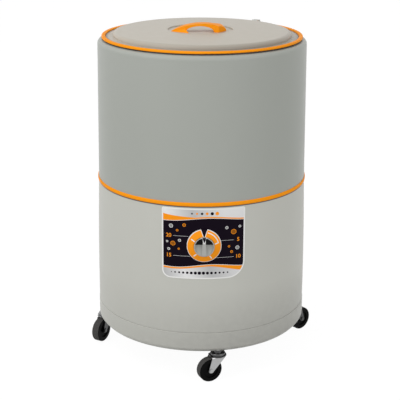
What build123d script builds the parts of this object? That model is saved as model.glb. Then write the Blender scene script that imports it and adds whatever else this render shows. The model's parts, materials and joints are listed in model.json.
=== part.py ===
"""Round semi-automatic washing machine: cabinet, tub, agitator drive, lift-off lid and swivel casters.

Millimetres, Z up. The origin is on the floor under the middle of the cabinet, and -Y is the front.
Azimuths are in degrees from the front towards +X. Outlines of turned pieces are (radius, height) points.
"""

from math import acos, cos, pi, radians, sin, tan
import os

from build123d import *

os.makedirs("parts", exist_ok=True)

# Shared clearances and cuts
overrun = 2.0  # how far a cutting tool runs past the wall that it cuts
seat_gap = 0.1  # pieces that are fastened together
running_gap = 0.05  # radial gap of a shaft in its bush
moving_gap = 0.3  # moving face beside a fixed face

# Cabinet: two shells on a base pan
shell_foot_r = 290.6  # every other radius of the cabinet follows from this one
wall = 3.0
edge_z = 85.0  # lower edge of the pan over the floor
edge_tuck = 7.9  # how far the pan's lower edge lies inside its wall
edge_round = 8.5
pan_proud = 0.9
groove_z = 140.0
groove_bevel = 1.2
shell_mid_z = 318.0
shell_mid_taper = 1.0
shell_top_taper = 5.6
joint_z = 495.5
joint_step = 0.3
joint_flange_wide = 26.0
joint_flange_thick = 3.0
upper_taper = 4.3
shoulder_z = 876.0
shoulder_round = 12.0
shoulder_lip_wide = 22.5
locator_tall = 9.0
pan_floor_thick = 4.0
pan_floor_rise = 1.5
pan_wall = 4.5

# Trim band over the joint
band_tall = 10.0
band_proud = 2.4
band_bevel = 1.4

# Rim ring
ring_inset = 10.9  # shoulder that shows round the ring
ring_wide = 10.8
ring_tall = 6.8
ring_round = 2.6

# Tub
tub_flange_tuck = 7.0  # how far the flange stops inside the ring's outer face
tub_flange_thick = 3.0
tub_room = 7.0
tub_taper = 8.5
tub_wall = 3.0
tub_floor_z = 303.0
tub_floor_thick = 4.0
tub_corner = 32.0
tub_hole_r = 36.0
drain_az = 144.0
drain_axis_r = 192.0
drain_bore_r = 11.0
drain_wall = 2.5
spigot_tall = 16.0

# Lid
lid_gap = 1.2
lid_flange_thick = 3.5
lid_wall = 2.8
lid_margin = 18.1
dome_edge_z = 895.0
dome_crown_z = 900.0
dome_edge_round = 11.0
dome_foot_round = 1.0
lid_lip_room = 2.5
lid_lip_thick = 2.6
lid_lip_tall = 12.0
dish_x = -5.0
dish_r = 87.0
dish_floor_z = 895.6
dish_round = 2.0

# Lid handle
handle_top_z = 917.5
handle_under_z = 911.3
handle_left_x = -83.0
handle_right_x = 64.0
arch_left_x = -44.0
arch_right_x = 31.0
handle_y = -17.0
strap_wide = 30.0
wing_x = -36.0
wing_y = -51.0
wing_tall = 10.5
block_x = 43.0
block_y = -43.0
tip_tall = 1.6
shoulder_left_x = -52.0
shoulder_left_z = 909.5
shoulder_right_x = 49.0
shoulder_right_z = 911.0
left_swell = 2.2
right_swell = 3.2
handle_screw_r = 2.0
handle_screw_head_r = 4.0
handle_screw_head_tall = 2.2
handle_screw_grip = 3.2

# Front label
label_low_z = 294.0
label_high_z = 485.0
label_chord = 215.0
label_thick = 0.6
label_left_corner = 21.0
label_right_corner = 44.0
label_top_corner = 5.0

# Drive plate and its pillars
plate_top_z = 149.0
plate_thick = 4.0
plate_half_x = 112.0
plate_front_y = -238.0
plate_rear_y = 122.0
plate_corner = 22.0
pillar_r = 13.0
pillar_inset = 17.0
drive_screw_r = 3.0
drive_screw_head_r = 5.5
drive_screw_head_tall = 4.0
drive_screw_long = 16.0

# Gear train
gear_module = 2.0
pinion_teeth = 16
wheel_teeth = 40
gear_wide = 11.0
pinion_wide = 13.0
addendum_share = 0.85
dedendum_share = 1.15
backlash = 0.25
pressure_angle = 20.0
stage_one_z = 161.0
stage_two_z = 181.0
counter_shaft_r = 6.0
counter_hub_r = 12.0
output_hub_r = 16.0
input_shaft_r = 7.0
output_shaft_r = 9.0

# Gearbox
gearbox_wall = 6.0
gearbox_room = 4.0
gearbox_cover_thick = 6.0
gearbox_top_z = 207.0
neck_r = 29.0
neck_top_z = 336.0
neck_flange_r = 74.0
neck_flange_thick = 6.0
bush_wall = 4.0
output_bush_long = 28.0
seal_thick = 4.0
clamp_nut_r = 52.0
clamp_nut_tall = 12.0
shaft_seal_tall = 7.0
rib_count = 6
rib_thick = 5.0

# Belt drive
motor_y = -165.0
pulley_low_z = 112.0
pulley_tall = 16.0
drive_pulley_r = 81.0
motor_pulley_r = 27.0
belt_tall = 10.0
belt_deep = 7.0
belt_side_gap = 0.4
rim_proud = 1.5
pulley_hub_r = 17.0
pulley_web = 5.0
pulley_window_r = 15.0
pulley_window_count = 5

# Motor
motor_r = 62.0
motor_tall = 122.0
motor_wall = 4.0
motor_foot_tall = 8.0
motor_shaft_r = 6.0
stator_r = 57.6
stator_bore_r = 36.0
stator_tall = 62.0
stator_rise = 30.0
rotor_r = 35.4
rotor_tall = 60.0
motor_lug_r = 9.0
motor_lug_reach = 72.0
motor_lug_tall = 14.0
motor_slot_count = 10
motor_slot_wide = 5.0
motor_slot_tall = 16.0
motor_slot_drop = 22.0
motor_shaft_end_gap = 6.0

# Run capacitor
capacitor_r = 18.0
capacitor_tall = 92.0
capacitor_x = 88.0
capacitor_y = -100.0
clamp_wall = 1.5
clamp_tall = 18.0
clamp_rise = 30.0

# Agitator
skirt_r = 165.0
skirt_low_z = 310.0
skirt_rim_tall = 6.0
skirt_wall = 3.5
post_r = 36.0
post_foot_z = 405.0
post_top_z = 540.0
post_top_r = 31.0
cap_tall = 18.0
cap_round = 14.0
vane_count = 4
vane_thick = 6.0
vane_r = 150.0
vane_top_z = 470.0
agitator_hub_r = 22.0
shaft_top_z = 372.0
hub_roof_thick = 7.0
agitator_bolt_r = 4.0
agitator_bolt_head_r = 6.5
agitator_bolt_head_tall = 5.0
agitator_bolt_long = 20.0

# Drain line and hose
outlet_z = 236.0
pipe_wall = 2.4
pipe_bend_r = 28.0
pipe_plug_long = 12.0
pipe_stop = 6.0  # end of the pipe short of the hose's axis
hose_stand_off = 17.4
elbow_r = 15.5
elbow_bore_r = 7.0
elbow_top_z = 262.0
barb_tall = 22.0
hose_rib_r = 13.0
hose_root_r = 11.2
hose_bore_r = 9.8
hose_top_z = 838.0
hose_cuff_tall = 26.0
rib_pitch = 4.35
crest_share = 0.32
slope_share = 0.14
clamp_band_wall = 1.4
clamp_band_tall = 9.0
clamp_band_rise = 8.0
clamp_ear = 7.0
nozzle_r = 12.4
nozzle_top_z = 874.0
hook_wide = 17.0
hook_thick = 4.5
hook_rise = 5.7  # top of the tongue over the ring
hook_ring_wall = 3.0
hook_ring_tall = 16.0
hook_ring_z = 846.0
hook_reach = 9.1
hook_bend = 5.9
clip_z = 420.0
clip_tall = 14.0
clip_wall = 3.0
clip_foot_wide = 34.0

# Timer
timer_az = 0.3
timer_z = 386.2
timer_box_wide = 56.0
timer_box_deep = 26.0
timer_sink = 7.2  # mounting plate behind the shell's outer face
timer_plate_wide = 84.0
timer_plate_tall = 40.0
timer_plate_thick = 3.0
timer_boss_r = 9.0
timer_boss_proud = 1.2  # this and the next four are measured from the shell's outer face
dial_skirt = 2.4
dial_proud = 11.0
knob_lift = 2.0
knob_proud = 14.0
dial_r = 44.7
dial_seat_wide = 3.0
dial_wall = 2.0
dial_round = 0.8
spindle_r = 3.0
knob_r = 26.4
knob_round = 1.0
knob_rim = 2.2
knob_pocket_deep = 8.5
knob_pocket_turn = 4.0  # height over the middle from which the pocket's floor slopes out
knob_grip_top_wide = 6.4
knob_grip_foot_wide = 13.0
knob_grip_proud = 2.5
knob_socket_stop = 3.0
timer_screw_r = 2.0
timer_screw_head_r = 3.6
timer_screw_head_tall = 2.0
timer_screw_pitch = 68.0

# Mains inlet gland
gland_az = 168.0
gland_z = 190.0
gland_r = 9.0
gland_bore_r = 4.0
gland_flange_r = 13.0
gland_flange_thick = 4.0
gland_nose = 14.0
gland_nut_thick = 5.0
gland_taper = 12.0

# Joint screws
joint_screw_count = 8
joint_screw_r = 2.0
joint_screw_head_r = 4.0
joint_screw_head_tall = 2.4
joint_screw_inset = 11.5

# Casters
caster_inset = 7.6
caster_trail = 25.0
wheel_r = 33.0
wheel_wide = 22.0
wheel_round = 3.0
hub_recess_r = 21.0
hub_recess_deep = 3.0
hub_r = 8.0
axle_r = 3.0
axle_head_r = 5.5
axle_head_tall = 2.5
leg_thick = 2.2
leg_gap = 1.2
leg_tip_r = 7.0
leg_rear = 21.0
leg_front = 19.0
crown_r = 23.0
crown_plate_thick = 2.6
crown_plate_rise = 3.4
crown_race_r = 20.0
crown_race_tall = 7.0
crown_race_round = 2.4
crown_neck_r = 12.0
stem_r = 5.0
stem_long = 30.0
socket_wall = 1.5
socket_flange_r = 11.0
socket_flange_thick = 1.4
caster_boss_r = 11.5
caster_boss_tall = 36.0
caster_azimuths = {"front": 8.3, "right": 98.3, "rear": 184.5, "left": 270.8}
# The way that each wheel trails, in degrees from +X towards +Y
caster_headings = {"front": 204.0, "right": 39.0, "rear": 19.0, "left": 240.0}

# Sizes that follow from those above
pan_r = shell_foot_r + pan_proud
edge_r = pan_r - edge_tuck
shell_mid_r = shell_foot_r - shell_mid_taper
lower_top_r = shell_foot_r - shell_top_taper
joint_flange_in_r = lower_top_r - joint_flange_wide
joint_screw_circle_r = joint_flange_in_r + joint_screw_inset
upper_foot_r = lower_top_r + joint_step
upper_top_r = upper_foot_r - upper_taper
shoulder_in_r = upper_top_r - shoulder_lip_wide
ring_low_z = shoulder_z + tub_flange_thick
ring_top_z = ring_low_z + ring_tall
ring_out_r = upper_top_r - ring_inset
ring_in_r = ring_out_r - ring_wide
tub_flange_r = ring_out_r - tub_flange_tuck
tub_in_r = shoulder_in_r - tub_room
tub_foot_in_r = tub_in_r - tub_taper
lid_low_z = ring_low_z
lid_r = ring_in_r - lid_gap
lid_annulus_z = lid_low_z + lid_flange_thick
lid_lip_r = tub_in_r - lid_lip_room
dome_r = lid_r - lid_margin
hose_axis_r = shell_foot_r + hose_stand_off
pipe_end_r = hose_axis_r - pipe_stop
hook_top_z = ring_top_z + hook_rise
hook_reach_r = ring_out_r - hook_reach
hook_bend_r = ring_out_r + hook_bend
caster_axis_r = edge_r - caster_inset
tub_under_z = tub_floor_z - tub_floor_thick
pan_floor_low_z = edge_z + pan_floor_rise
pan_floor_z = pan_floor_low_z + pan_floor_thick
plate_low_z = plate_top_z - plate_thick
gear_cd = gear_module * (pinion_teeth + wheel_teeth) / 2
cover_top_z = plate_top_z + gearbox_cover_thick
belt_mid_z = pulley_low_z + pulley_tall / 2
band_r = upper_foot_r + band_proud


def spot(azimuth, radius, height):
    """A point in space from its azimuth, radius and height."""
    angle = radians(azimuth)
    return Vector(radius * sin(angle), -radius * cos(angle), height)


def outward(azimuth, radius, height, across=0, up=0):
    """A plane that faces away from the Z axis, with its own Y upright, moved across and up in itself."""
    angle = radians(azimuth)
    x_dir = Vector(cos(angle), sin(angle), 0)
    return Plane(
        origin=spot(azimuth, radius, height + up) + x_dir * across,
        x_dir=x_dir,
        z_dir=(sin(angle), -cos(angle), 0),
    )


def turn(*points, rounds=(), centre=(0, 0), mode=Mode.ADD):
    """Spin a closed outline of (radius, height) points about an upright axis, with rounded corners."""
    with BuildSketch(Plane.XZ) as outline:
        with BuildLine():
            Polyline(*points, close=True)
        make_face()
        for corner, radius in rounds:
            fillet(outline.vertices().sort_by_distance((corner[0], corner[1], 0))[0], radius)
    spun = revolve(outline.sketch, axis=Axis.Z, mode=Mode.PRIVATE)
    add(spun.moved(Location((centre[0], centre[1], 0))), mode=mode)


def post(centre, radius, low, high, mode=Mode.ADD):
    """An upright round bar or hole between two heights."""
    with BuildSketch(Plane.XY.offset(low)) as disc:
        with Locations((centre[0], centre[1])):
            Circle(radius)
    extrude(disc.sketch, amount=high - low, mode=mode)


def bar(plane, radius, length, mode=Mode.ADD):
    """A round bar or hole that starts on a plane and runs along its normal."""
    with BuildSketch(plane) as disc:
        Circle(radius)
    extrude(disc.sketch, amount=length, mode=mode)


def finish(builder, name):
    """Label a finished piece and write it."""
    builder.part.label = name
    export_step(builder.part, f"parts/{name}.step")


def cross_at(radius_low, z_low, radius_high, z_high, height):
    """Radius of a straight wall at a height."""
    return radius_low + (radius_high - radius_low) * (height - z_low) / (z_high - z_low)


def shell_at(height):
    """Outer radius of the lower shell at a height, along its shallow bulge."""
    share = (height - shell_mid_z) / (joint_z - shell_mid_z)
    lean = (lower_top_r - shell_foot_r) / 2
    bulge = (lower_top_r + shell_foot_r) / 2 - shell_mid_r
    return shell_mid_r + lean * share + bulge * share ** 2


timer_face_r = shell_at(timer_z)
timer_front_r = timer_face_r - timer_sink
timer_back_r = timer_front_r - timer_plate_thick
timer_boss_front_r = timer_face_r + timer_boss_proud
dial_skirt_r = timer_face_r + dial_skirt
dial_front_r = timer_face_r + dial_proud
dial_bore_r = knob_r + moving_gap
dial_crown_r = dial_bore_r + dial_wall
dial_window_r = dial_r - dial_seat_wide
knob_back_r = timer_face_r + knob_lift
knob_front_r = timer_face_r + knob_proud
knob_socket_r = knob_front_r - knob_socket_stop


# Base pan: moulded tray under the machine, with its rounded lower edge, caster bosses and pillars
pillar_spots = [
    (side * (plate_half_x - pillar_inset), y)
    for side in (-1, 1)
    for y in (plate_front_y + pillar_inset, plate_rear_y - pillar_inset)
]
caster_spots = {name: spot(azimuth, caster_axis_r, 0) for name, azimuth in caster_azimuths.items()}
locator_r = shell_foot_r - wall - seat_gap
socket_bore_r = stem_r + running_gap
socket_r = socket_bore_r + socket_wall
vent_count = 10
vent_wide = 7.0
vent_long = 34.0
vent_circle_r = 200.0
shaft_window_r = 30.0
with BuildPart() as base_pan:
    turn(
        (0, pan_floor_low_z),
        (edge_r - wall, pan_floor_low_z),
        (edge_r - wall, edge_z),
        (edge_r, edge_z),
        (pan_r, edge_z + edge_round),
        (pan_r, groove_z - groove_bevel),
        (pan_r - groove_bevel, groove_z),
        (locator_r, groove_z),
        (locator_r, groove_z + locator_tall),
        (locator_r - wall, groove_z + locator_tall),
        (locator_r - wall, groove_z - wall * 2),
        (pan_r - pan_wall, groove_z - wall * 3),
        (pan_r - pan_wall, pan_floor_z + edge_round),
        (edge_r - wall, pan_floor_z),
        (0, pan_floor_z),
        rounds=(((pan_r, edge_z + edge_round), edge_round),),
    )
    for x, y in pillar_spots:
        post((x, y), pillar_r, pan_floor_z - overrun, plate_low_z)
    for place in caster_spots.values():
        post((place.X, place.Y), caster_boss_r, pan_floor_low_z, pan_floor_low_z + caster_boss_tall)
    for place in caster_spots.values():
        post((place.X, place.Y), socket_r + seat_gap, edge_z - overrun,
             pan_floor_low_z + caster_boss_tall + overrun, mode=Mode.SUBTRACT)
        post((place.X, place.Y), socket_flange_r + seat_gap, edge_z - overrun, pan_floor_low_z,
             mode=Mode.SUBTRACT)
    for x, y in pillar_spots:
        post((x, y), drive_screw_r, plate_low_z - drive_screw_long, plate_low_z + overrun,
             mode=Mode.SUBTRACT)
    with BuildSketch(Plane.XY.offset(pan_floor_low_z)):
        with PolarLocations(vent_circle_r, vent_count, start_angle=180 / vent_count):
            SlotOverall(vent_long, vent_wide, rotation=90)
        Circle(shaft_window_r)
    extrude(amount=pan_floor_thick, mode=Mode.SUBTRACT)
finish(base_pan, "base_pan")


# Lower shell: the paler half of the cabinet, open below, with an inward flange at its top
shell_cut_r = shell_foot_r - wall * 5
shell_cut_long = wall * 8
timer_screw_places = [side * timer_screw_pitch / 2 for side in (-1, 1)]
with BuildPart() as lower_shell:
    with BuildSketch(Plane.XZ) as shell_section:
        with BuildLine():
            outer = ThreePointArc((shell_foot_r, groove_z + seat_gap), (shell_mid_r, shell_mid_z),
                                  (lower_top_r, joint_z))
            Polyline(
                outer @ 1,
                (joint_flange_in_r, joint_z),
                (joint_flange_in_r, joint_z - joint_flange_thick),
                (lower_top_r - wall, joint_z - joint_flange_thick),
            )
            ThreePointArc((lower_top_r - wall, joint_z - joint_flange_thick),
                          (shell_mid_r - wall, shell_mid_z), (shell_foot_r - wall, groove_z + seat_gap))
            Line((shell_foot_r - wall, groove_z + seat_gap), outer @ 0)
        make_face()
        chamfer(shell_section.vertices().sort_by_distance((shell_foot_r, groove_z, 0))[0], groove_bevel)
    revolve(axis=Axis.Z)
    bar(outward(drain_az, shell_cut_r, outlet_z), drain_bore_r + seat_gap, shell_cut_long,
        mode=Mode.SUBTRACT)
    bar(outward(timer_az, shell_cut_r, timer_z), timer_boss_r + seat_gap, shell_cut_long,
        mode=Mode.SUBTRACT)
    for across in timer_screw_places:
        bar(outward(timer_az, shell_cut_r, timer_z, across), timer_screw_r + seat_gap,
            shell_cut_long, mode=Mode.SUBTRACT)
    bar(outward(gland_az, shell_cut_r, gland_z), gland_r + seat_gap, shell_cut_long,
        mode=Mode.SUBTRACT)
    with BuildSketch(Plane.XY.offset(joint_z - joint_flange_thick)):
        with PolarLocations(joint_screw_circle_r, joint_screw_count):
            Circle(joint_screw_r + seat_gap)
    extrude(amount=joint_flange_thick, mode=Mode.SUBTRACT)
finish(lower_shell, "lower_shell")


# Upper shell: the cooler grey half, with a rounded shoulder and a flat lip that carries the tub
with BuildPart() as upper_shell:
    turn(
        (upper_foot_r, joint_z),
        (upper_top_r, shoulder_z),
        (shoulder_in_r, shoulder_z),
        (shoulder_in_r, shoulder_z - wall),
        (upper_top_r - wall, shoulder_z - wall),
        (upper_foot_r - wall, joint_z + joint_flange_thick),
        (joint_flange_in_r, joint_z + joint_flange_thick),
        (joint_flange_in_r, joint_z),
        rounds=(
            ((upper_top_r, shoulder_z), shoulder_round),
            ((upper_top_r - wall, shoulder_z - wall), shoulder_round - wall),
        ),
    )
    with BuildSketch(Plane.XY.offset(joint_z)):
        with PolarLocations(joint_screw_circle_r, joint_screw_count):
            Circle(joint_screw_r)
    extrude(amount=joint_flange_thick, mode=Mode.SUBTRACT)
finish(upper_shell, "upper_shell")


# Joint screws: pan-head screws that hold the two flanges together from below
with BuildPart() as joint_screws:
    with BuildSketch(Plane.XY.offset(joint_z - joint_flange_thick)):
        with PolarLocations(joint_screw_circle_r, joint_screw_count):
            Circle(joint_screw_r - running_gap)
    extrude(amount=joint_flange_thick * 2)
    with BuildSketch(Plane.XY.offset(joint_z - joint_flange_thick - joint_screw_head_tall)):
        with PolarLocations(joint_screw_circle_r, joint_screw_count):
            Circle(joint_screw_head_r)
    extrude(amount=joint_screw_head_tall)
finish(joint_screws, "joint_screws")


# Trim band: orange hoop that covers the joint between the shells
with BuildPart() as trim_band:
    turn(
        (upper_foot_r + seat_gap, joint_z - band_tall / 2),
        (band_r - band_bevel, joint_z - band_tall / 2),
        (band_r, joint_z - band_tall / 2 + band_bevel),
        (band_r, joint_z + band_tall / 2 - band_bevel),
        (band_r - band_bevel, joint_z + band_tall / 2),
        (upper_foot_r + seat_gap, joint_z + band_tall / 2),
    )
finish(trim_band, "trim_band")


# Wash tub: hangs by its flange on the shoulder lip, with a sloped wall, a round corner and a drain spigot
drain_x = drain_axis_r * sin(radians(drain_az))
drain_y = -drain_axis_r * cos(radians(drain_az))
with BuildPart() as wash_tub:
    turn(
        (tub_in_r, ring_low_z),
        (tub_flange_r, ring_low_z),
        (tub_flange_r, shoulder_z),
        (tub_in_r + tub_wall, shoulder_z),
        (tub_foot_in_r + tub_wall, tub_under_z),
        (tub_hole_r, tub_under_z),
        (tub_hole_r, tub_floor_z),
        (tub_foot_in_r, tub_floor_z),
        rounds=(
            ((tub_foot_in_r, tub_floor_z), tub_corner),
            ((tub_foot_in_r + tub_wall, tub_under_z), tub_corner + tub_floor_thick),
        ),
    )
    post((drain_x, drain_y), drain_bore_r + drain_wall, tub_under_z - spigot_tall, tub_under_z)
    post((drain_x, drain_y), drain_bore_r, tub_under_z - spigot_tall - overrun, tub_floor_z + overrun,
         mode=Mode.SUBTRACT)
finish(wash_tub, "wash_tub")


# Drain strainer: slotted disc that drops into the drain hole
strainer_r = drain_bore_r + drain_wall * 2
strainer_thick = 1.6
strainer_skirt = 8.0
strainer_slot = 2.0
with BuildPart() as drain_strainer:
    post((drain_x, drain_y), strainer_r, tub_floor_z, tub_floor_z + strainer_thick)
    post((drain_x, drain_y), drain_bore_r - seat_gap, tub_floor_z - strainer_skirt, tub_floor_z)
    post((drain_x, drain_y), drain_bore_r - drain_wall, tub_floor_z - strainer_skirt, tub_floor_z,
         mode=Mode.SUBTRACT)
    with BuildSketch(Plane.XY.offset(tub_floor_z)):
        with Locations((drain_x, drain_y)):
            with GridLocations(0, strainer_slot * 2, 1, 4):
                Rectangle(drain_bore_r, strainer_slot)
    extrude(amount=strainer_thick, mode=Mode.SUBTRACT)
finish(drain_strainer, "drain_strainer")


# Rim ring: orange hoop on the tub's flange, round the lid
with BuildPart() as rim_ring:
    turn(
        (ring_in_r, ring_low_z),
        (ring_out_r, ring_low_z),
        (ring_out_r, ring_top_z),
        (ring_in_r, ring_top_z),
        rounds=(
            ((ring_out_r, ring_low_z), ring_round),
            ((ring_out_r, ring_top_z), ring_round),
            ((ring_in_r, ring_top_z), ring_round),
        ),
    )
finish(rim_ring, "rim_ring")


# Front label: thin plastic panel that follows the lower shell just under the band
with BuildPart() as front_label:
    with BuildSketch(Plane.XZ):
        with BuildLine():
            inner = ThreePointArc((shell_foot_r + seat_gap, groove_z), (shell_mid_r + seat_gap, shell_mid_z),
                                  (lower_top_r + seat_gap, joint_z))
            Line(inner @ 1, (lower_top_r + seat_gap + label_thick, joint_z))
            ThreePointArc((lower_top_r + seat_gap + label_thick, joint_z),
                          (shell_mid_r + seat_gap + label_thick, shell_mid_z),
                          (shell_foot_r + seat_gap + label_thick, groove_z))
            Line((shell_foot_r + seat_gap + label_thick, groove_z), inner @ 0)
        make_face()
    revolve(axis=Axis.Z)
    with BuildSketch(Plane.XZ) as label_outline:
        with Locations((0, (label_low_z + label_high_z) / 2)):
            Rectangle(label_chord, label_high_z - label_low_z)
        fillet(label_outline.vertices().group_by(Axis.Y)[-1], label_top_corner)
        for side, radius in ((-1, label_left_corner), (1, label_right_corner)):
            corner = (side * label_chord / 2, 0, label_low_z)
            fillet(label_outline.vertices().sort_by_distance(corner)[0], radius)
    extrude(amount=pan_r + overrun, mode=Mode.INTERSECT)
    bar(outward(timer_az, timer_face_r - wall, timer_z), dial_window_r, wall * 3, mode=Mode.SUBTRACT)
finish(front_label, "front_label")


# Lid: low dome with a flat margin, a locating lip underneath and a round dish for the handle
dish_under_z = dish_floor_z - lid_wall
dome_mid_z = dome_crown_z - (dome_crown_z - dome_edge_z) / 4
with BuildPart() as lid_shell:
    with BuildSketch(Plane.XZ) as lid_section:
        with BuildLine():
            ThreePointArc((0, dome_crown_z), (dome_r / 2, dome_mid_z), (dome_r, dome_edge_z))
            Polyline(
                (dome_r, dome_edge_z),
                (dome_r, lid_annulus_z),
                (lid_r, lid_annulus_z),
                (lid_r, lid_low_z),
                (lid_lip_r, lid_low_z),
                (lid_lip_r, lid_low_z - lid_lip_tall),
                (lid_lip_r - lid_lip_thick, lid_low_z - lid_lip_tall),
                (lid_lip_r - lid_lip_thick, lid_low_z),
                (dome_r - lid_wall, lid_low_z),
                (dome_r - lid_wall, dome_edge_z - lid_wall),
            )
            ThreePointArc((dome_r - lid_wall, dome_edge_z - lid_wall), (dome_r / 2, dome_mid_z - lid_wall),
                          (0, dome_crown_z - lid_wall))
            Line((0, dome_crown_z - lid_wall), (0, dome_crown_z))
        make_face()
        for corner, radius in (
            ((dome_r, dome_edge_z), dome_edge_round),
            ((dome_r, lid_annulus_z), dome_foot_round),
            ((dome_r - lid_wall, dome_edge_z - lid_wall), dome_edge_round - lid_wall),
        ):
            fillet(lid_section.vertices().sort_by_distance((*corner, 0))[0], radius)
    revolve(axis=Axis.Z)
    post((dish_x, 0), dish_r + lid_wall, dish_under_z, dish_floor_z + lid_wall)
    post((dish_x, 0), dish_r, dish_floor_z, dome_crown_z + overrun, mode=Mode.SUBTRACT)
    fillet(lid_shell.edges().sort_by_distance((dish_x + dish_r, 0, dome_crown_z))[0], dish_round)
    screw_spots = [
        (handle_left_x + strap_wide / 2, handle_y),
        (arch_left_x - strap_wide / 3, handle_y - strap_wide / 3),
        (arch_right_x + strap_wide / 4, handle_y - strap_wide / 3),
        (handle_right_x - strap_wide / 3, handle_y + strap_wide / 3),
    ]
    for place in screw_spots:
        post(place, handle_screw_r + seat_gap, dish_under_z - overrun, dish_floor_z + overrun,
             mode=Mode.SUBTRACT)
finish(lid_shell, "lid_shell")


# Lid handle: orange bridge with a long tapered foot on one side and a blocky foot on the other
handle_mid_x = (arch_left_x + arch_right_x) / 2
left_rise_mid = ((handle_left_x + shoulder_left_x) / 2,
                 (dish_floor_z + shoulder_left_z) / 2 + left_swell)
right_drop_mid = ((handle_right_x + shoulder_right_x) / 2 + tip_tall,
                  (dish_floor_z + shoulder_right_z) / 2 + right_swell)
with BuildPart() as lid_handle:
    with BuildSketch(Plane.XZ):
        with BuildLine():
            tip = Line((handle_left_x, dish_floor_z), (handle_left_x, dish_floor_z + tip_tall))
            left_rise = ThreePointArc(tip @ 1, left_rise_mid, (shoulder_left_x, shoulder_left_z))
            crown = ThreePointArc(left_rise @ 1, (handle_mid_x, handle_top_z),
                                  (shoulder_right_x, shoulder_right_z))
            right_drop = ThreePointArc(crown @ 1, right_drop_mid,
                                       (handle_right_x, dish_floor_z + tip_tall * 2))
            Polyline(right_drop @ 1, (handle_right_x, dish_floor_z), (arch_right_x, dish_floor_z))
            EllipticalCenterArc((handle_mid_x, dish_floor_z), (arch_right_x - arch_left_x) / 2,
                                handle_under_z - dish_floor_z, start_angle=0, arc_size=180)
            Line((arch_left_x, dish_floor_z), tip @ 0)
        make_face()
    extrude(amount=-block_y * 2, both=True)
    with BuildSketch(Plane.XY.offset(dish_floor_z)):
        with BuildLine():
            Polyline(
                (handle_left_x, handle_y - strap_wide / 8),
                (shoulder_left_x, handle_y - strap_wide / 2),
                (arch_right_x - strap_wide / 6, handle_y - strap_wide / 2),
                (block_x, block_y),
                (handle_right_x, handle_y + strap_wide / 4),
                (shoulder_right_x, handle_y + strap_wide),
                (arch_right_x, handle_y + strap_wide / 2),
                (shoulder_left_x, handle_y + strap_wide / 2),
                close=True,
            )
        make_face()
    extrude(amount=handle_top_z - dish_floor_z, mode=Mode.INTERSECT)
    with BuildSketch(Plane.XY.offset(dish_floor_z)):
        with BuildLine():
            Polyline(
                (handle_left_x, handle_y - strap_wide / 8),
                (wing_x, wing_y),
                (arch_left_x, handle_y - strap_wide / 3),
                close=True,
            )
        make_face()
    with BuildSketch(Plane.XY.offset(dish_floor_z + wing_tall)):
        with BuildLine():
            Polyline(
                (shoulder_left_x - strap_wide / 5, handle_y - strap_wide / 6),
                (arch_left_x - strap_wide / 10, handle_y - strap_wide / 2 + seat_gap),
                (arch_left_x - strap_wide / 5, handle_y - strap_wide / 6),
                close=True,
            )
        make_face()
    loft(ruled=True)
    for place in screw_spots:
        post(place, handle_screw_r, dish_floor_z, dish_floor_z + handle_screw_grip, mode=Mode.SUBTRACT)
finish(lid_handle, "lid_handle")


# Handle screws: four screws that come up through the dish from inside the lid
with BuildPart() as handle_screws:
    for place in screw_spots:
        post(place, handle_screw_r - running_gap, dish_under_z, dish_floor_z + handle_screw_grip)
        post(place, handle_screw_head_r, dish_under_z - handle_screw_head_tall, dish_under_z)
finish(handle_screws, "handle_screws")


def gear_face(teeth, centre, tooth_angle, height, mode=Mode.ADD):
    """Outline of an involute gear as a polygon, with one tooth centred on an angle from +X."""
    pitch_r = gear_module * teeth / 2
    base_r = pitch_r * cos(radians(pressure_angle))
    root_r = pitch_r - gear_module * dedendum_share
    tip_r = pitch_r + gear_module * addendum_share
    flank_start = max(base_r, root_r)
    radii = [root_r, flank_start + (pitch_r - flank_start) / 8, pitch_r, tip_r]

    def half_tooth(radius):
        """Half of the tooth's angle at a radius."""
        lean = acos(min(1, base_r / radius))
        pitch_lean = radians(pressure_angle)
        return (pi / 2 / teeth - backlash / 2 / pitch_r
                + (tan(pitch_lean) - pitch_lean) - (tan(lean) - lean))

    points = []
    for tooth in range(teeth):
        middle = radians(tooth_angle) + 2 * pi * tooth / teeth
        for radius in radii:
            angle = middle - half_tooth(radius)
            points.append((centre[0] + radius * cos(angle), centre[1] + radius * sin(angle)))
        for radius in reversed(radii):
            angle = middle + half_tooth(radius)
            points.append((centre[0] + radius * cos(angle), centre[1] + radius * sin(angle)))
    with BuildSketch(Plane.XY.offset(height)) as outline:
        with BuildLine():
            Polyline(*points, close=True)
        make_face()
    return outline.sketch


def lobes(radius, low, high, mode=Mode.ADD):
    """The gearbox's two-lobed outline of one radius, between two heights."""
    with BuildSketch(Plane.XY.offset(low)) as outline:
        Circle(radius)
        with Locations((0, gear_cd)):
            Circle(radius)
        make_hull()
    extrude(outline.sketch, amount=high - low, mode=mode)


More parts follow.
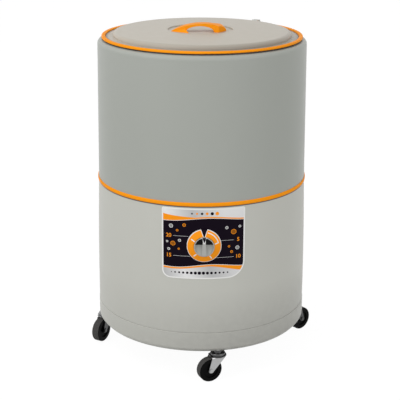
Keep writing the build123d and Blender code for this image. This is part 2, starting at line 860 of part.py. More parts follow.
# Drive plate: steel plate on the pan's pillars that carries the gearbox and the motor
lobe_r = gear_module * (wheel_teeth / 2 + addendum_share) + gearbox_room + gearbox_wall
lug_x = lobe_r + motor_lug_r / 2
gearbox_lugs = [(side * lug_x, y) for side in (-1, 1) for y in (0, gear_cd)]
motor_lugs = [
    (motor_lug_reach * cos(radians(angle)), motor_y + motor_lug_reach * sin(radians(angle)))
    for angle in (45, 135, 225, 315)
]
input_bush_r = input_shaft_r + running_gap + bush_wall
cover_boss_r = input_bush_r + gearbox_wall / 2
motor_window_r = motor_shaft_r + bush_wall
with BuildPart() as drive_plate:
    with BuildSketch(Plane.XY.offset(plate_low_z)) as plate_outline:
        with Locations((0, (plate_front_y + plate_rear_y) / 2)):
            RectangleRounded(plate_half_x * 2, plate_rear_y - plate_front_y, plate_corner)
        Circle(cover_boss_r + seat_gap, mode=Mode.SUBTRACT)
        with Locations((0, motor_y)):
            SlotOverall(motor_window_r * 4, motor_window_r * 2, rotation=90, mode=Mode.SUBTRACT)
        with Locations(*pillar_spots, *gearbox_lugs, *motor_lugs):
            Circle(drive_screw_r + seat_gap, mode=Mode.SUBTRACT)
    extrude(amount=plate_thick)
finish(drive_plate, "drive_plate")


# Drive screws: twelve like screws, down into the pillars and up into the gearbox and the motor
with BuildPart() as drive_screws:
    for place in pillar_spots:
        post(place, drive_screw_r - running_gap, plate_top_z - drive_screw_long, plate_top_z)
        post(place, drive_screw_head_r, plate_top_z, plate_top_z + drive_screw_head_tall)
    for place in gearbox_lugs + motor_lugs:
        post(place, drive_screw_r - running_gap, plate_low_z, plate_low_z + drive_screw_long)
        post(place, drive_screw_head_r, plate_low_z - drive_screw_head_tall, plate_low_z)
finish(drive_screws, "drive_screws")


# Gearbox cover: floor of the gearbox, with a boss through the plate for the input bush
with BuildPart() as gearbox_cover:
    lobes(lobe_r, plate_top_z, cover_top_z)
    for place in gearbox_lugs:
        post(place, motor_lug_r, plate_top_z, cover_top_z)
    post((0, 0), cover_boss_r, plate_low_z, cover_top_z)
    post((0, 0), input_bush_r + seat_gap, plate_low_z - overrun, cover_top_z + overrun,
         mode=Mode.SUBTRACT)
    post((0, gear_cd), counter_hub_r, cover_top_z, stage_one_z - moving_gap)
    post((0, gear_cd), counter_shaft_r + running_gap, plate_top_z + gearbox_cover_thick / 3, stage_one_z,
         mode=Mode.SUBTRACT)
    for place in gearbox_lugs:
        post(place, drive_screw_r, plate_top_z - overrun, cover_top_z + overrun, mode=Mode.SUBTRACT)
finish(gearbox_cover, "gearbox_cover")


# Gearbox housing: cast two-lobed box with a ribbed neck that stands up through the tub's floor
neck_flange_z = tub_under_z - seal_thick - neck_flange_thick
output_bush_r = output_shaft_r + running_gap + bush_wall
shaft_seal_r = output_bush_r + bush_wall / 2
gearbox_ceiling_z = gearbox_top_z - gearbox_wall
shaft_seal_z = neck_top_z - shaft_seal_tall
with BuildPart() as gearbox_housing:
    lobes(lobe_r, cover_top_z, gearbox_top_z)
    for place in gearbox_lugs:
        post(place, motor_lug_r, cover_top_z, cover_top_z + drive_screw_long)
    post((0, 0), neck_r, gearbox_top_z, neck_top_z)
    post((0, 0), neck_flange_r, neck_flange_z, neck_flange_z + neck_flange_thick)
    with BuildSketch(Plane.XY.offset(gearbox_top_z)):
        with PolarLocations((neck_r + lobe_r) / 2 - rib_thick, rib_count):
            Rectangle(lobe_r - neck_r, rib_thick)
    extrude(amount=neck_flange_z - gearbox_top_z)
    lobes(lobe_r - gearbox_wall, cover_top_z, gearbox_ceiling_z, mode=Mode.SUBTRACT)
    post((0, 0), output_bush_r + seat_gap, gearbox_ceiling_z - overrun, neck_top_z + overrun,
         mode=Mode.SUBTRACT)
    post((0, 0), shaft_seal_r + seat_gap, shaft_seal_z, neck_top_z + overrun, mode=Mode.SUBTRACT)
    post((0, gear_cd), counter_hub_r, stage_two_z + pinion_wide, gearbox_ceiling_z)
    post((0, gear_cd), counter_shaft_r + running_gap, stage_two_z, gearbox_ceiling_z + gearbox_wall / 3,
         mode=Mode.SUBTRACT)
    for place in gearbox_lugs:
        post(place, drive_screw_r, cover_top_z - overrun, plate_low_z + drive_screw_long + overrun,
             mode=Mode.SUBTRACT)
finish(gearbox_housing, "gearbox_housing")


# Gearbox bushes: two bronze bushes in the neck and one in the cover
with BuildPart() as gearbox_bushes:
    for low in (gearbox_ceiling_z, shaft_seal_z - output_bush_long):
        post((0, 0), output_bush_r, low, low + output_bush_long)
    post((0, 0), output_shaft_r + running_gap, gearbox_ceiling_z - overrun, neck_top_z, mode=Mode.SUBTRACT)
    post((0, 0), input_bush_r, plate_low_z, cover_top_z)
    post((0, 0), input_shaft_r + running_gap, plate_low_z - overrun, cover_top_z + overrun,
         mode=Mode.SUBTRACT)
finish(gearbox_bushes, "gearbox_bushes")


# Shaft seal: rubber lip seal in the top of the neck
with BuildPart() as shaft_seal:
    post((0, 0), shaft_seal_r, shaft_seal_z, neck_top_z)
    post((0, 0), output_shaft_r + running_gap, shaft_seal_z - overrun, neck_top_z + overrun,
         mode=Mode.SUBTRACT)
finish(shaft_seal, "shaft_seal")


# Tub seal: stepped rubber ring between the gearbox flange and the hole in the tub's floor
with BuildPart() as tub_seal:
    turn(
        (neck_r + seat_gap, tub_under_z - seal_thick),
        (neck_flange_r, tub_under_z - seal_thick),
        (neck_flange_r, tub_under_z),
        (tub_hole_r - seat_gap, tub_under_z),
        (tub_hole_r - seat_gap, tub_floor_z),
        (neck_r + seat_gap, tub_floor_z),
    )
finish(tub_seal, "tub_seal")


# Clamp nut: large plastic nut inside the tub that pulls the neck up against the seal
nut_notch_count = 8
nut_notch_r = 5.0
with BuildPart() as clamp_nut:
    post((0, 0), clamp_nut_r, tub_floor_z, tub_floor_z + clamp_nut_tall)
    post((0, 0), neck_r + seat_gap, tub_floor_z - overrun, tub_floor_z + clamp_nut_tall + overrun,
         mode=Mode.SUBTRACT)
    with BuildSketch(Plane.XY.offset(tub_floor_z + clamp_nut_tall / 3)):
        with PolarLocations(clamp_nut_r, nut_notch_count):
            Circle(nut_notch_r)
    extrude(amount=clamp_nut_tall, mode=Mode.SUBTRACT)
finish(clamp_nut, "clamp_nut")


# Input shaft: steel shaft with its pinion cut on it, driven by the big pulley
input_low_z = pulley_low_z - rim_proud * 2
input_top_z = stage_one_z + pinion_wide
pinion_low_z = stage_one_z - (pinion_wide - gear_wide) / 2
with BuildPart() as input_shaft:
    post((0, 0), input_shaft_r, input_low_z, input_top_z)
    extrude(gear_face(pinion_teeth, (0, 0), 90, pinion_low_z), amount=pinion_wide)
finish(input_shaft, "input_shaft")


# Counter gear: large wheel and small pinion in one piece, loose on the counter shaft
with BuildPart() as counter_gear:
    extrude(gear_face(wheel_teeth, (0, gear_cd), 270 + 180 / wheel_teeth, stage_one_z), amount=gear_wide)
    post((0, gear_cd), counter_hub_r, stage_one_z, stage_two_z)
    extrude(gear_face(pinion_teeth, (0, gear_cd), 270, stage_two_z - (pinion_wide - gear_wide) / 2),
            amount=pinion_wide)
    post((0, gear_cd), counter_shaft_r + running_gap, stage_one_z - overrun,
         stage_two_z + pinion_wide + overrun, mode=Mode.SUBTRACT)
finish(counter_gear, "counter_gear")


# Counter shaft: steel pin between the cover and the ceiling of the gearbox
with BuildPart() as counter_shaft:
    post((0, gear_cd), counter_shaft_r, plate_top_z + gearbox_cover_thick / 3 + seat_gap,
         gearbox_ceiling_z + gearbox_wall / 3 - seat_gap)
finish(counter_shaft, "counter_shaft")


# Output gear: large wheel on the lower end of the output shaft
output_low_z = stage_two_z - rim_proud
with BuildPart() as output_gear:
    extrude(gear_face(wheel_teeth, (0, 0), 90 + 180 / wheel_teeth, stage_two_z), amount=gear_wide)
    post((0, 0), output_hub_r, stage_two_z, gearbox_ceiling_z - moving_gap)
    post((0, 0), output_shaft_r + seat_gap, stage_two_z - overrun, gearbox_ceiling_z, mode=Mode.SUBTRACT)
finish(output_gear, "output_gear")


# Output shaft: carries the agitator on its upper end, tapped for the agitator bolt
with BuildPart() as output_shaft:
    post((0, 0), output_shaft_r, output_low_z, shaft_top_z)
    post((0, 0), agitator_bolt_r, shaft_top_z - agitator_bolt_long, shaft_top_z + overrun,
         mode=Mode.SUBTRACT)
finish(output_shaft, "output_shaft")


# Pulleys: grooved wheels for the flat-sided belt; the big one has windows in its web
belt_low_z = belt_mid_z - belt_tall / 2
belt_high_z = belt_mid_z + belt_tall / 2


def grooved(radius, bore, centre):
    """A solid pulley with a belt groove, turned about an upright axis."""
    turn(
        (bore, pulley_low_z),
        (radius + rim_proud, pulley_low_z),
        (radius + rim_proud, belt_low_z - belt_side_gap),
        (radius - belt_deep - belt_side_gap, belt_low_z - belt_side_gap),
        (radius - belt_deep - belt_side_gap, belt_high_z + belt_side_gap),
        (radius + rim_proud, belt_high_z + belt_side_gap),
        (radius + rim_proud, pulley_low_z + pulley_tall),
        (bore, pulley_low_z + pulley_tall),
        centre=centre,
    )


pulley_rim_in_r = drive_pulley_r - belt_deep * 2
with BuildPart() as drive_pulley:
    grooved(drive_pulley_r, input_shaft_r + seat_gap, (0, 0))
    with BuildSketch(Plane.XY.offset(belt_mid_z + pulley_web / 2)):
        Circle(pulley_rim_in_r)
        Circle(pulley_hub_r, mode=Mode.SUBTRACT)
    extrude(amount=pulley_tall, mode=Mode.SUBTRACT)
    with BuildSketch(Plane.XY.offset(belt_mid_z - pulley_web / 2)):
        Circle(pulley_rim_in_r)
        Circle(pulley_hub_r, mode=Mode.SUBTRACT)
    extrude(amount=-pulley_tall, mode=Mode.SUBTRACT)
    with BuildSketch(Plane.XY.offset(belt_mid_z - pulley_web)):
        with PolarLocations((pulley_rim_in_r + pulley_hub_r) / 2, pulley_window_count):
            Circle(pulley_window_r)
    extrude(amount=pulley_web * 2, mode=Mode.SUBTRACT)
finish(drive_pulley, "drive_pulley")

with BuildPart() as motor_pulley:
    grooved(motor_pulley_r, motor_shaft_r + seat_gap, (0, motor_y))
finish(motor_pulley, "motor_pulley")


# Drive belt: runs round both pulleys
with BuildPart() as drive_belt:
    with BuildSketch(Plane.XY.offset(belt_low_z)) as belt_outside:
        Circle(drive_pulley_r)
        with Locations((0, motor_y)):
            Circle(motor_pulley_r)
        make_hull()
    extrude(belt_outside.sketch, amount=belt_tall)
    with BuildSketch(Plane.XY.offset(belt_low_z - overrun)) as belt_inside:
        Circle(drive_pulley_r - belt_deep)
        with Locations((0, motor_y)):
            Circle(motor_pulley_r - belt_deep)
        make_hull()
    extrude(belt_inside.sketch, amount=belt_tall + overrun * 2, mode=Mode.SUBTRACT)
finish(drive_belt, "drive_belt")


# Motor housing: vented can on four lugs, with a bearing at each end
motor_top_z = plate_top_z + motor_foot_tall + motor_tall
with BuildPart() as motor_housing:
    post((0, motor_y), motor_r, plate_top_z, motor_top_z)
    fillet(motor_housing.edges().group_by(Axis.Z)[-1], motor_wall * 2)
    for angle in (45, 135, 225, 315):
        with BuildSketch(Plane.XY.offset(plate_top_z)):
            with Locations((0, motor_y)):
                with PolarLocations(motor_lug_reach - motor_lug_r, 1, start_angle=angle):
                    SlotCenterToCenter(motor_lug_r * 2, motor_lug_r * 2)
        extrude(amount=motor_lug_tall)
    post((0, motor_y), motor_r - motor_wall, plate_top_z + motor_foot_tall, motor_top_z - motor_wall,
         mode=Mode.SUBTRACT)
    post((0, motor_y), motor_window_r, motor_top_z - motor_wall * 3, motor_top_z - motor_wall)
    post((0, motor_y), motor_shaft_r + running_gap, plate_top_z - overrun, motor_top_z - motor_wall,
         mode=Mode.SUBTRACT)
    for height in (plate_top_z + motor_lug_tall + motor_slot_tall / 2, motor_top_z - motor_slot_drop):
        for slot in range(motor_slot_count):
            angle = radians(360 * (slot + 1 / 2) / motor_slot_count)
            slot_plane = Plane(
                origin=(0, motor_y, height),
                x_dir=(-sin(angle), cos(angle), 0),
                z_dir=(cos(angle), sin(angle), 0),
            )
            with BuildSketch(slot_plane.offset(stator_r - overrun)):
                SlotOverall(motor_slot_tall, motor_slot_wide, rotation=90)
            extrude(amount=motor_wall * 3, mode=Mode.SUBTRACT)
    for place in motor_lugs:
        post(place, drive_screw_r, plate_top_z - overrun, plate_top_z + motor_lug_tall + overrun,
             mode=Mode.SUBTRACT)
finish(motor_housing, "motor_housing")


# Stator and rotor: wound ring fixed in the can, and the core on the motor's shaft
stator_low_z = plate_top_z + motor_foot_tall + stator_rise
with BuildPart() as motor_stator:
    post((0, motor_y), stator_r, stator_low_z, stator_low_z + stator_tall)
    post((0, motor_y), stator_bore_r, stator_low_z - overrun, stator_low_z + stator_tall + overrun,
         mode=Mode.SUBTRACT)
finish(motor_stator, "motor_stator")

rotor_low_z = stator_low_z + (stator_tall - rotor_tall) / 2
with BuildPart() as motor_rotor:
    post((0, motor_y), motor_shaft_r, input_low_z, motor_top_z - motor_shaft_end_gap)
    post((0, motor_y), rotor_r, rotor_low_z, rotor_low_z + rotor_tall)
finish(motor_rotor, "motor_rotor")


# Run capacitor and its clamp, upright on the drive plate beside the motor
capacitor_low_z = plate_top_z + clamp_wall
with BuildPart() as run_capacitor:
    post((capacitor_x, capacitor_y), capacitor_r, capacitor_low_z, capacitor_low_z + capacitor_tall)
    fillet(run_capacitor.edges().group_by(Axis.Z)[-1], clamp_wall * 2)
    for side in (-1, 1):
        with BuildSketch(Plane.XY.offset(capacitor_low_z + capacitor_tall)):
            with Locations((capacitor_x + side * capacitor_r / 3, capacitor_y)):
                Rectangle(clamp_wall, capacitor_r / 3)
        extrude(amount=clamp_tall / 2)
finish(run_capacitor, "run_capacitor")

with BuildPart() as capacitor_clamp:
    post((capacitor_x, capacitor_y), capacitor_r + seat_gap + clamp_wall, plate_top_z,
         plate_top_z + clamp_rise + clamp_tall)
    post((capacitor_x, capacitor_y), capacitor_r + seat_gap, capacitor_low_z,
         plate_top_z + clamp_rise + clamp_tall + overrun, mode=Mode.SUBTRACT)
finish(capacitor_clamp, "capacitor_clamp")


# Agitator: moulded skirt, hollow post and vanes, keyed to the output shaft by its hub
cone_low = (skirt_r, skirt_low_z + skirt_rim_tall)
cone_high = (post_r, post_foot_z)
hub_low_z = neck_top_z + rim_proud
cap_skirt = cap_tall / 2
post_bore_r = post_r - skirt_wall
top_bore_r = post_top_r - skirt_wall
cone_at_vane_z = cross_at(post_foot_z, post_r, skirt_low_z + skirt_rim_tall, skirt_r, vane_r)
with BuildPart() as agitator:
    turn(
        (skirt_r, skirt_low_z),
        cone_low,
        cone_high,
        (post_top_r, post_top_z),
        (top_bore_r, post_top_z),
        (post_bore_r, shaft_top_z + hub_roof_thick),
        (agitator_bolt_r + seat_gap, shaft_top_z + hub_roof_thick),
        (agitator_bolt_r + seat_gap, shaft_top_z),
        (output_shaft_r + seat_gap, shaft_top_z),
        (output_shaft_r + seat_gap, hub_low_z),
        (agitator_hub_r, hub_low_z),
        (agitator_hub_r, shaft_top_z),
        (post_r, shaft_top_z),
        (post_r + skirt_wall, post_foot_z - skirt_wall * 3),
        (skirt_r - skirt_wall, skirt_low_z + skirt_rim_tall - skirt_wall),
        (skirt_r - skirt_wall, skirt_low_z),
        rounds=((cone_high, post_r),),
    )
    with BuildSketch(Plane.XZ) as vane:
        with BuildLine():
            Polyline(
                (post_bore_r + skirt_wall / 2, vane_top_z),
                (post_bore_r + skirt_wall / 2, post_foot_z - skirt_wall),
                (vane_r, cone_at_vane_z - skirt_wall),
                (vane_r, cone_at_vane_z + vane_thick * 2),
            )
            ThreePointArc(
                (vane_r, cone_at_vane_z + vane_thick * 2),
                ((post_r + vane_r) / 2 - vane_thick, (vane_top_z + cone_at_vane_z) / 2 - vane_thick * 2),
                (post_bore_r + skirt_wall / 2, vane_top_z),
            )
        make_face()
    blade = extrude(vane.sketch, amount=vane_thick / 2, both=True, mode=Mode.PRIVATE)
    for turn_count in range(vane_count):
        add(blade.rotate(Axis.Z, 360 * (turn_count + 1 / 2) / vane_count))
finish(agitator, "agitator")


# Agitator bolt and cap: the bolt holds the hub on the shaft, the cap closes the post
roof_z = shaft_top_z + hub_roof_thick
with BuildPart() as agitator_bolt:
    post((0, 0), agitator_bolt_r - running_gap, shaft_top_z - agitator_bolt_long + seat_gap, roof_z)
    with BuildSketch(Plane.XY.offset(roof_z)):
        RegularPolygon(agitator_bolt_head_r, 6)
    extrude(amount=agitator_bolt_head_tall)
finish(agitator_bolt, "agitator_bolt")

with BuildPart() as agitator_cap:
    turn(
        (0, post_top_z + cap_tall),
        (post_top_r, post_top_z + cap_tall),
        (post_top_r, post_top_z),
        (top_bore_r - seat_gap, post_top_z),
        (top_bore_r - seat_gap, post_top_z - cap_skirt),
        (top_bore_r - seat_gap - skirt_wall, post_top_z - cap_skirt),
        (top_bore_r - seat_gap - skirt_wall, post_top_z),
        (0, post_top_z),
        rounds=(((post_top_r, post_top_z + cap_tall), cap_round),),
    )
finish(agitator_cap, "agitator_cap")


# Drain pipe: from the tub's spigot down and out through the shell
pipe_r = drain_bore_r - seat_gap
drain_plane = Plane(
    origin=(0, 0, 0),
    x_dir=(sin(radians(drain_az)), -cos(radians(drain_az)), 0),
    z_dir=(-cos(radians(drain_az)), -sin(radians(drain_az)), 0),
)
pipe_top_z = tub_under_z - spigot_tall + pipe_plug_long
with BuildPart() as drain_pipe:
    with BuildLine(drain_plane) as pipe_line:
        FilletPolyline(
            (drain_axis_r, pipe_top_z),
            (drain_axis_r, outlet_z),
            (pipe_end_r, outlet_z),
            radius=pipe_bend_r,
        )
    with BuildSketch(Plane(origin=pipe_line.line @ 0, z_dir=pipe_line.line % 0)):
        Circle(pipe_r)
        Circle(pipe_r - pipe_wall, mode=Mode.SUBTRACT)
    sweep(path=pipe_line.line)
finish(drain_pipe, "drain_pipe")


# Drain elbow: moulded elbow on the outer end of the pipe, with a barb that points up
elbow_start_r = shell_foot_r + moving_gap * 2
barb_r = hose_bore_r - seat_gap
hose_centre = spot(drain_az, hose_axis_r, 0)
hose_xy = (hose_centre.X, hose_centre.Y)
with BuildPart() as drain_elbow:
    bar(outward(drain_az, elbow_start_r, outlet_z), elbow_r, hose_axis_r - elbow_start_r)
    with Locations(spot(drain_az, hose_axis_r, outlet_z)):
        Sphere(elbow_r)
    post(hose_xy, hose_rib_r, outlet_z, elbow_top_z)
    post(hose_xy, barb_r, elbow_top_z, elbow_top_z + barb_tall)
    bar(outward(drain_az, elbow_start_r - overrun, outlet_z), pipe_r + seat_gap,
        pipe_end_r + seat_gap - elbow_start_r + overrun, mode=Mode.SUBTRACT)
    bar(outward(drain_az, elbow_start_r, outlet_z), elbow_bore_r, hose_axis_r - elbow_start_r,
        mode=Mode.SUBTRACT)
    post(hose_xy, elbow_bore_r, outlet_z, elbow_top_z + barb_tall + overrun, mode=Mode.SUBTRACT)
finish(drain_elbow, "drain_elbow")


# Drain hose: ribbed hose that stands along the rear of the cabinet, with plain cuffs and a clear bore
hose_foot_z = elbow_top_z + moving_gap
rib_low_z = hose_foot_z + hose_cuff_tall
rib_count_hose = int((hose_top_z - hose_cuff_tall - rib_low_z) / rib_pitch)
rib_step = (hose_top_z - hose_cuff_tall - rib_low_z) / rib_count_hose
rib_shape = (
    (0, hose_root_r),
    (slope_share, hose_rib_r),
    (slope_share + crest_share, hose_rib_r),
    (slope_share * 2 + crest_share, hose_root_r),
)
with BuildPart() as drain_hose:
    for rib in range(rib_count_hose):
        for share, radius in rib_shape:
            with BuildSketch(Plane(origin=(*hose_xy, rib_low_z + (rib + share) * rib_step), x_dir=(1, 0, 0))):
                Circle(radius)
    with BuildSketch(Plane(origin=(*hose_xy, rib_low_z + rib_count_hose * rib_step), x_dir=(1, 0, 0))):
        Circle(hose_root_r)
    loft(ruled=True)
    post(hose_xy, hose_rib_r - moving_gap, hose_foot_z, rib_low_z)
    post(hose_xy, hose_rib_r - moving_gap, hose_top_z - hose_cuff_tall, hose_top_z)
    post(hose_xy, hose_bore_r, hose_foot_z - overrun, hose_top_z + overrun, mode=Mode.SUBTRACT)
finish(drain_hose, "drain_hose")


# Hose nozzle: plain end of the hose, plugged into its top and open upwards
nozzle_low_z = hose_top_z + moving_gap
with BuildPart() as hose_nozzle:
    post(hose_xy, nozzle_r, nozzle_low_z, nozzle_top_z)
    post(hose_xy, barb_r, nozzle_low_z - barb_tall, nozzle_low_z)
    post(hose_xy, elbow_bore_r, nozzle_low_z - barb_tall - overrun, nozzle_top_z + overrun,
         mode=Mode.SUBTRACT)
finish(hose_nozzle, "hose_nozzle")


# Hose clamps: a band with a screw ear round each end of the hose
cuff_r = hose_rib_r - moving_gap
with BuildPart() as hose_clamps:
    for low in (hose_foot_z + clamp_band_rise, hose_top_z - clamp_band_rise - clamp_band_tall):
        post(hose_xy, cuff_r + seat_gap + clamp_band_wall, low, low + clamp_band_tall)
        ear_plane = outward(drain_az, hose_axis_r, low, cuff_r)
        with BuildSketch(ear_plane.offset(-clamp_ear / 2)):
            with Locations((clamp_ear / 2, clamp_band_tall / 2)):
                Rectangle(clamp_ear, clamp_band_tall)
        extrude(amount=clamp_ear)
        post(hose_xy, cuff_r + seat_gap, low - overrun, low + clamp_band_tall + overrun, mode=Mode.SUBTRACT)
finish(hose_clamps, "hose_clamps")


# Hose hook: collar round the nozzle with a flat tongue over the rim ring
hook_low_z = ring_top_z + seat_gap
collar_in_r = nozzle_r + seat_gap
collar_face_r = hose_axis_r - collar_in_r
with BuildPart() as hose_hook:
    post(hose_xy, collar_in_r + hook_ring_wall, hook_ring_z, hook_ring_z + hook_ring_tall)
    with BuildSketch(drain_plane) as hook_side:
        with BuildLine():
            Polyline(
                (hook_reach_r, hook_low_z),
                (hook_bend_r, hook_low_z),
                (collar_face_r - hook_ring_wall, hook_ring_z + hook_ring_tall),
                (collar_face_r - hook_ring_wall, hook_ring_z),
                (collar_face_r, hook_ring_z),
                (collar_face_r, hook_ring_z + hook_ring_tall + hook_thick),
                (hook_bend_r + hook_thick / 2, hook_top_z),
                (hook_reach_r, hook_top_z),
                close=True,
            )
        make_face()
        fillet(hook_side.vertices().sort_by_distance((hook_reach_r, hook_top_z, 0))[0], hook_thick / 2)
        fillet(hook_side.vertices().sort_by_distance((hook_bend_r + hook_thick / 2, hook_top_z, 0))[0],
               hook_thick)
    extrude(amount=hook_wide / 2, both=True)
    post(hose_xy, collar_in_r, hook_ring_z - overrun, hook_top_z, mode=Mode.SUBTRACT)
finish(hose_hook, "hose_hook")


# Hose clip: foot on the lower shell with a ring round the hose
clip_face_r = cross_at(shell_mid_r, shell_mid_z, lower_top_r, joint_z, clip_z - clip_tall) + moving_gap
with BuildPart() as hose_clip:
    with BuildSketch(outward(drain_az, clip_face_r - clip_wall, clip_z)):
        RectangleRounded(clip_foot_wide, clip_tall, clip_wall)
    extrude(amount=hose_axis_r - hose_rib_r - clip_face_r + clip_wall)
    post(hose_xy, hose_rib_r + seat_gap + clip_wall, clip_z - clip_tall / 2, clip_z + clip_tall / 2)
    post(hose_xy, hose_rib_r + seat_gap, clip_z - clip_tall, clip_z + clip_tall, mode=Mode.SUBTRACT)
    turn((0, clip_z - clip_tall), (clip_face_r, clip_z - clip_tall), (clip_face_r, clip_z + clip_tall),
         (0, clip_z + clip_tall), mode=Mode.SUBTRACT)
finish(hose_clip, "hose_clip")


# Timer: clockwork box behind the shell, held by two screws whose heads lie under the dial
with BuildPart() as timer_box:
    with BuildSketch(outward(timer_az, timer_back_r, timer_z)):
        RectangleRounded(timer_plate_wide, timer_plate_tall, timer_boss_r / 2)
    extrude(amount=timer_plate_thick)
    with BuildSketch(outward(timer_az, timer_back_r - timer_box_deep, timer_z)):
        RectangleRounded(timer_box_wide, timer_box_wide, timer_boss_r / 2)
    extrude(amount=timer_box_deep)
    bar(outward(timer_az, timer_front_r, timer_z), timer_boss_r, timer_boss_front_r - timer_front_r)
    bar(outward(timer_az, timer_back_r - timer_box_deep / 2, timer_z), spindle_r + running_gap,
        timer_box_deep, mode=Mode.SUBTRACT)
    for across in timer_screw_places:
        bar(outward(timer_az, timer_back_r - overrun, timer_z, across), timer_screw_r,
            timer_plate_thick + overrun * 2, mode=Mode.SUBTRACT)
finish(timer_box, "timer_box")

timer_screw_in = timer_screw_pitch / 2 - timer_screw_head_r
timer_screw_seat_r = ((timer_face_r + seat_gap) ** 2 - timer_screw_in ** 2) ** 0.5 + seat_gap
with BuildPart() as timer_screws:
    for across in timer_screw_places:
        bar(outward(timer_az, timer_back_r, timer_z, across), timer_screw_r - running_gap,
            timer_screw_seat_r - timer_back_r)
        bar(outward(timer_az, timer_screw_seat_r, timer_z, across), timer_screw_head_r,
            timer_screw_head_tall)
finish(timer_screws, "timer_screws")


# Timer dial: orange cone that stands on the label round the knob, hollow over the screws
timer_line = outward(timer_az, 0, timer_z)
timer_section = Plane(origin=timer_line.origin, x_dir=timer_line.z_dir, z_dir=-timer_line.x_dir)
timer_axis = Axis(timer_line.origin, timer_line.z_dir)
label_face_gap = label_thick + seat_gap * 2
with BuildPart() as timer_dial:
    with BuildSketch(timer_section) as dial_section:
        with BuildLine():
            Polyline(
                (timer_front_r, dial_r),
                (dial_skirt_r, dial_r),
                (dial_front_r, dial_crown_r),
                (dial_front_r, dial_bore_r),
                (dial_front_r - dial_wall * 1.5, dial_bore_r),
                (dial_skirt_r, dial_window_r),
                (timer_front_r, dial_window_r),
                close=True,
            )
        make_face()
        for corner in ((dial_skirt_r, dial_r, 0), (dial_front_r, dial_crown_r, 0)):
            fillet(dial_section.vertices().sort_by_distance(corner)[0], dial_round)
    revolve(axis=timer_axis)
    with BuildSketch(Plane.XZ):
        with BuildLine():
            face = ThreePointArc((shell_foot_r + label_face_gap, groove_z),
                                 (shell_mid_r + label_face_gap, shell_mid_z),
                                 (lower_top_r + label_face_gap, joint_z))
            Polyline(face @ 1, (0, joint_z), (0, groove_z), face @ 0)
        make_face()
    revolve(axis=Axis.Z, mode=Mode.SUBTRACT)
finish(timer_dial, "timer_dial")


# Timer knob: round cap with a tapered grip between two pockets, whose floors slope out to the rim below
pocket_r = knob_r - knob_rim


def grip_outline():
    """Face of the grip, seen from the front: narrow at the pointer, wide at the foot."""
    with BuildLine() as grip_edge:
        Polyline(
            (-knob_grip_top_wide / 2, pocket_r + knob_rim / 4),
            (knob_grip_top_wide / 2, pocket_r + knob_rim / 4),
            (knob_grip_foot_wide / 2, -pocket_r),
            (-knob_grip_foot_wide / 2, -pocket_r),
            close=True,
        )
    make_face(grip_edge.edges())


with BuildPart() as knob_pockets:
    with BuildSketch(timer_section):
        with BuildLine():
            Polyline(
                (knob_front_r + overrun, pocket_r),
                (knob_front_r - knob_pocket_deep, pocket_r),
                (knob_front_r - knob_pocket_deep, knob_pocket_turn),
                (knob_front_r, -pocket_r),
                (knob_front_r + overrun, -pocket_r),
                close=True,
            )
        make_face()
    extrude(amount=pocket_r, both=True)
    bar(outward(timer_az, knob_back_r, timer_z), pocket_r, knob_proud + overrun, mode=Mode.INTERSECT)
    with BuildSketch(outward(timer_az, knob_back_r, timer_z)):
        grip_outline()
    extrude(amount=knob_proud + overrun, mode=Mode.SUBTRACT)

with BuildPart() as timer_knob:
    bar(outward(timer_az, knob_back_r, timer_z), knob_r, knob_front_r - knob_back_r)
    fillet(timer_knob.edges().filter_by(GeomType.CIRCLE).sort_by_distance(
        spot(timer_az, knob_front_r, timer_z))[0], knob_round)
    add(knob_pockets.part, mode=Mode.SUBTRACT)
    with BuildSketch(outward(timer_az, knob_front_r, timer_z)):
        grip_outline()
    extrude(amount=knob_grip_proud)
    fillet(timer_knob.faces().sort_by_distance(spot(timer_az, knob_front_r * 2, timer_z))[0].edges(),
           knob_round)
    bar(outward(timer_az, knob_back_r - overrun, timer_z), spindle_r + seat_gap,
        knob_socket_r - knob_back_r + overrun, mode=Mode.SUBTRACT)
finish(timer_knob, "timer_knob")

with BuildPart() as timer_spindle:
    bar(outward(timer_az, timer_back_r - timer_box_deep / 2 + moving_gap, timer_z), spindle_r,
        knob_socket_r - moving_gap * 2 - timer_back_r + timer_box_deep / 2)
finish(timer_spindle, "timer_spindle")


# Cable gland: strain relief in the shell for the mains lead, with its nut inside
gland_low_r = shell_foot_r - wall - gland_nut_thick - moving_gap * 2
gland_flange_low_r = shell_foot_r + moving_gap
gland_nose_r = gland_flange_low_r + gland_flange_thick
with BuildPart() as cable_gland:
    bar(outward(gland_az, gland_low_r, gland_z), gland_r, gland_nose_r - gland_low_r)
    bar(outward(gland_az, gland_flange_low_r, gland_z), gland_flange_r, gland_flange_thick)
    with BuildSketch(outward(gland_az, gland_nose_r, gland_z)):
        Circle(gland_r)
    extrude(amount=gland_nose, taper=gland_taper)
    with BuildSketch(outward(gland_az, gland_low_r, gland_z)):
        RegularPolygon(gland_flange_r, 6)
    extrude(amount=gland_nut_thick)
    bar(outward(gland_az, gland_low_r - overrun, gland_z), gland_bore_r,
        gland_nose_r + gland_nose - gland_low_r + overrun * 2, mode=Mode.SUBTRACT)
finish(cable_gland, "cable_gland")


# Casters: metal sockets in the pan's bosses, pressed forks with a stem, bolts, and solid wheels
crown_plate_z = wheel_r * 2 + crown_plate_rise
crown_plate_top_z = crown_plate_z + crown_plate_thick
socket_low_z = pan_floor_low_z - socket_flange_thick
crown_top_z = socket_low_z - moving_gap
leg_in = wheel_wide / 2 + leg_gap
leg_out = leg_in + leg_thick
with BuildPart() as caster_sockets:
    for place in caster_spots.values():
        post((place.X, place.Y), socket_flange_r, socket_low_z, pan_floor_low_z)
        post((place.X, place.Y), socket_r, pan_floor_low_z, pan_floor_low_z + caster_boss_tall)
        post((place.X, place.Y), socket_bore_r, socket_low_z - overrun,
             pan_floor_low_z + caster_boss_tall + overrun, mode=Mode.SUBTRACT)
finish(caster_sockets, "caster_sockets")

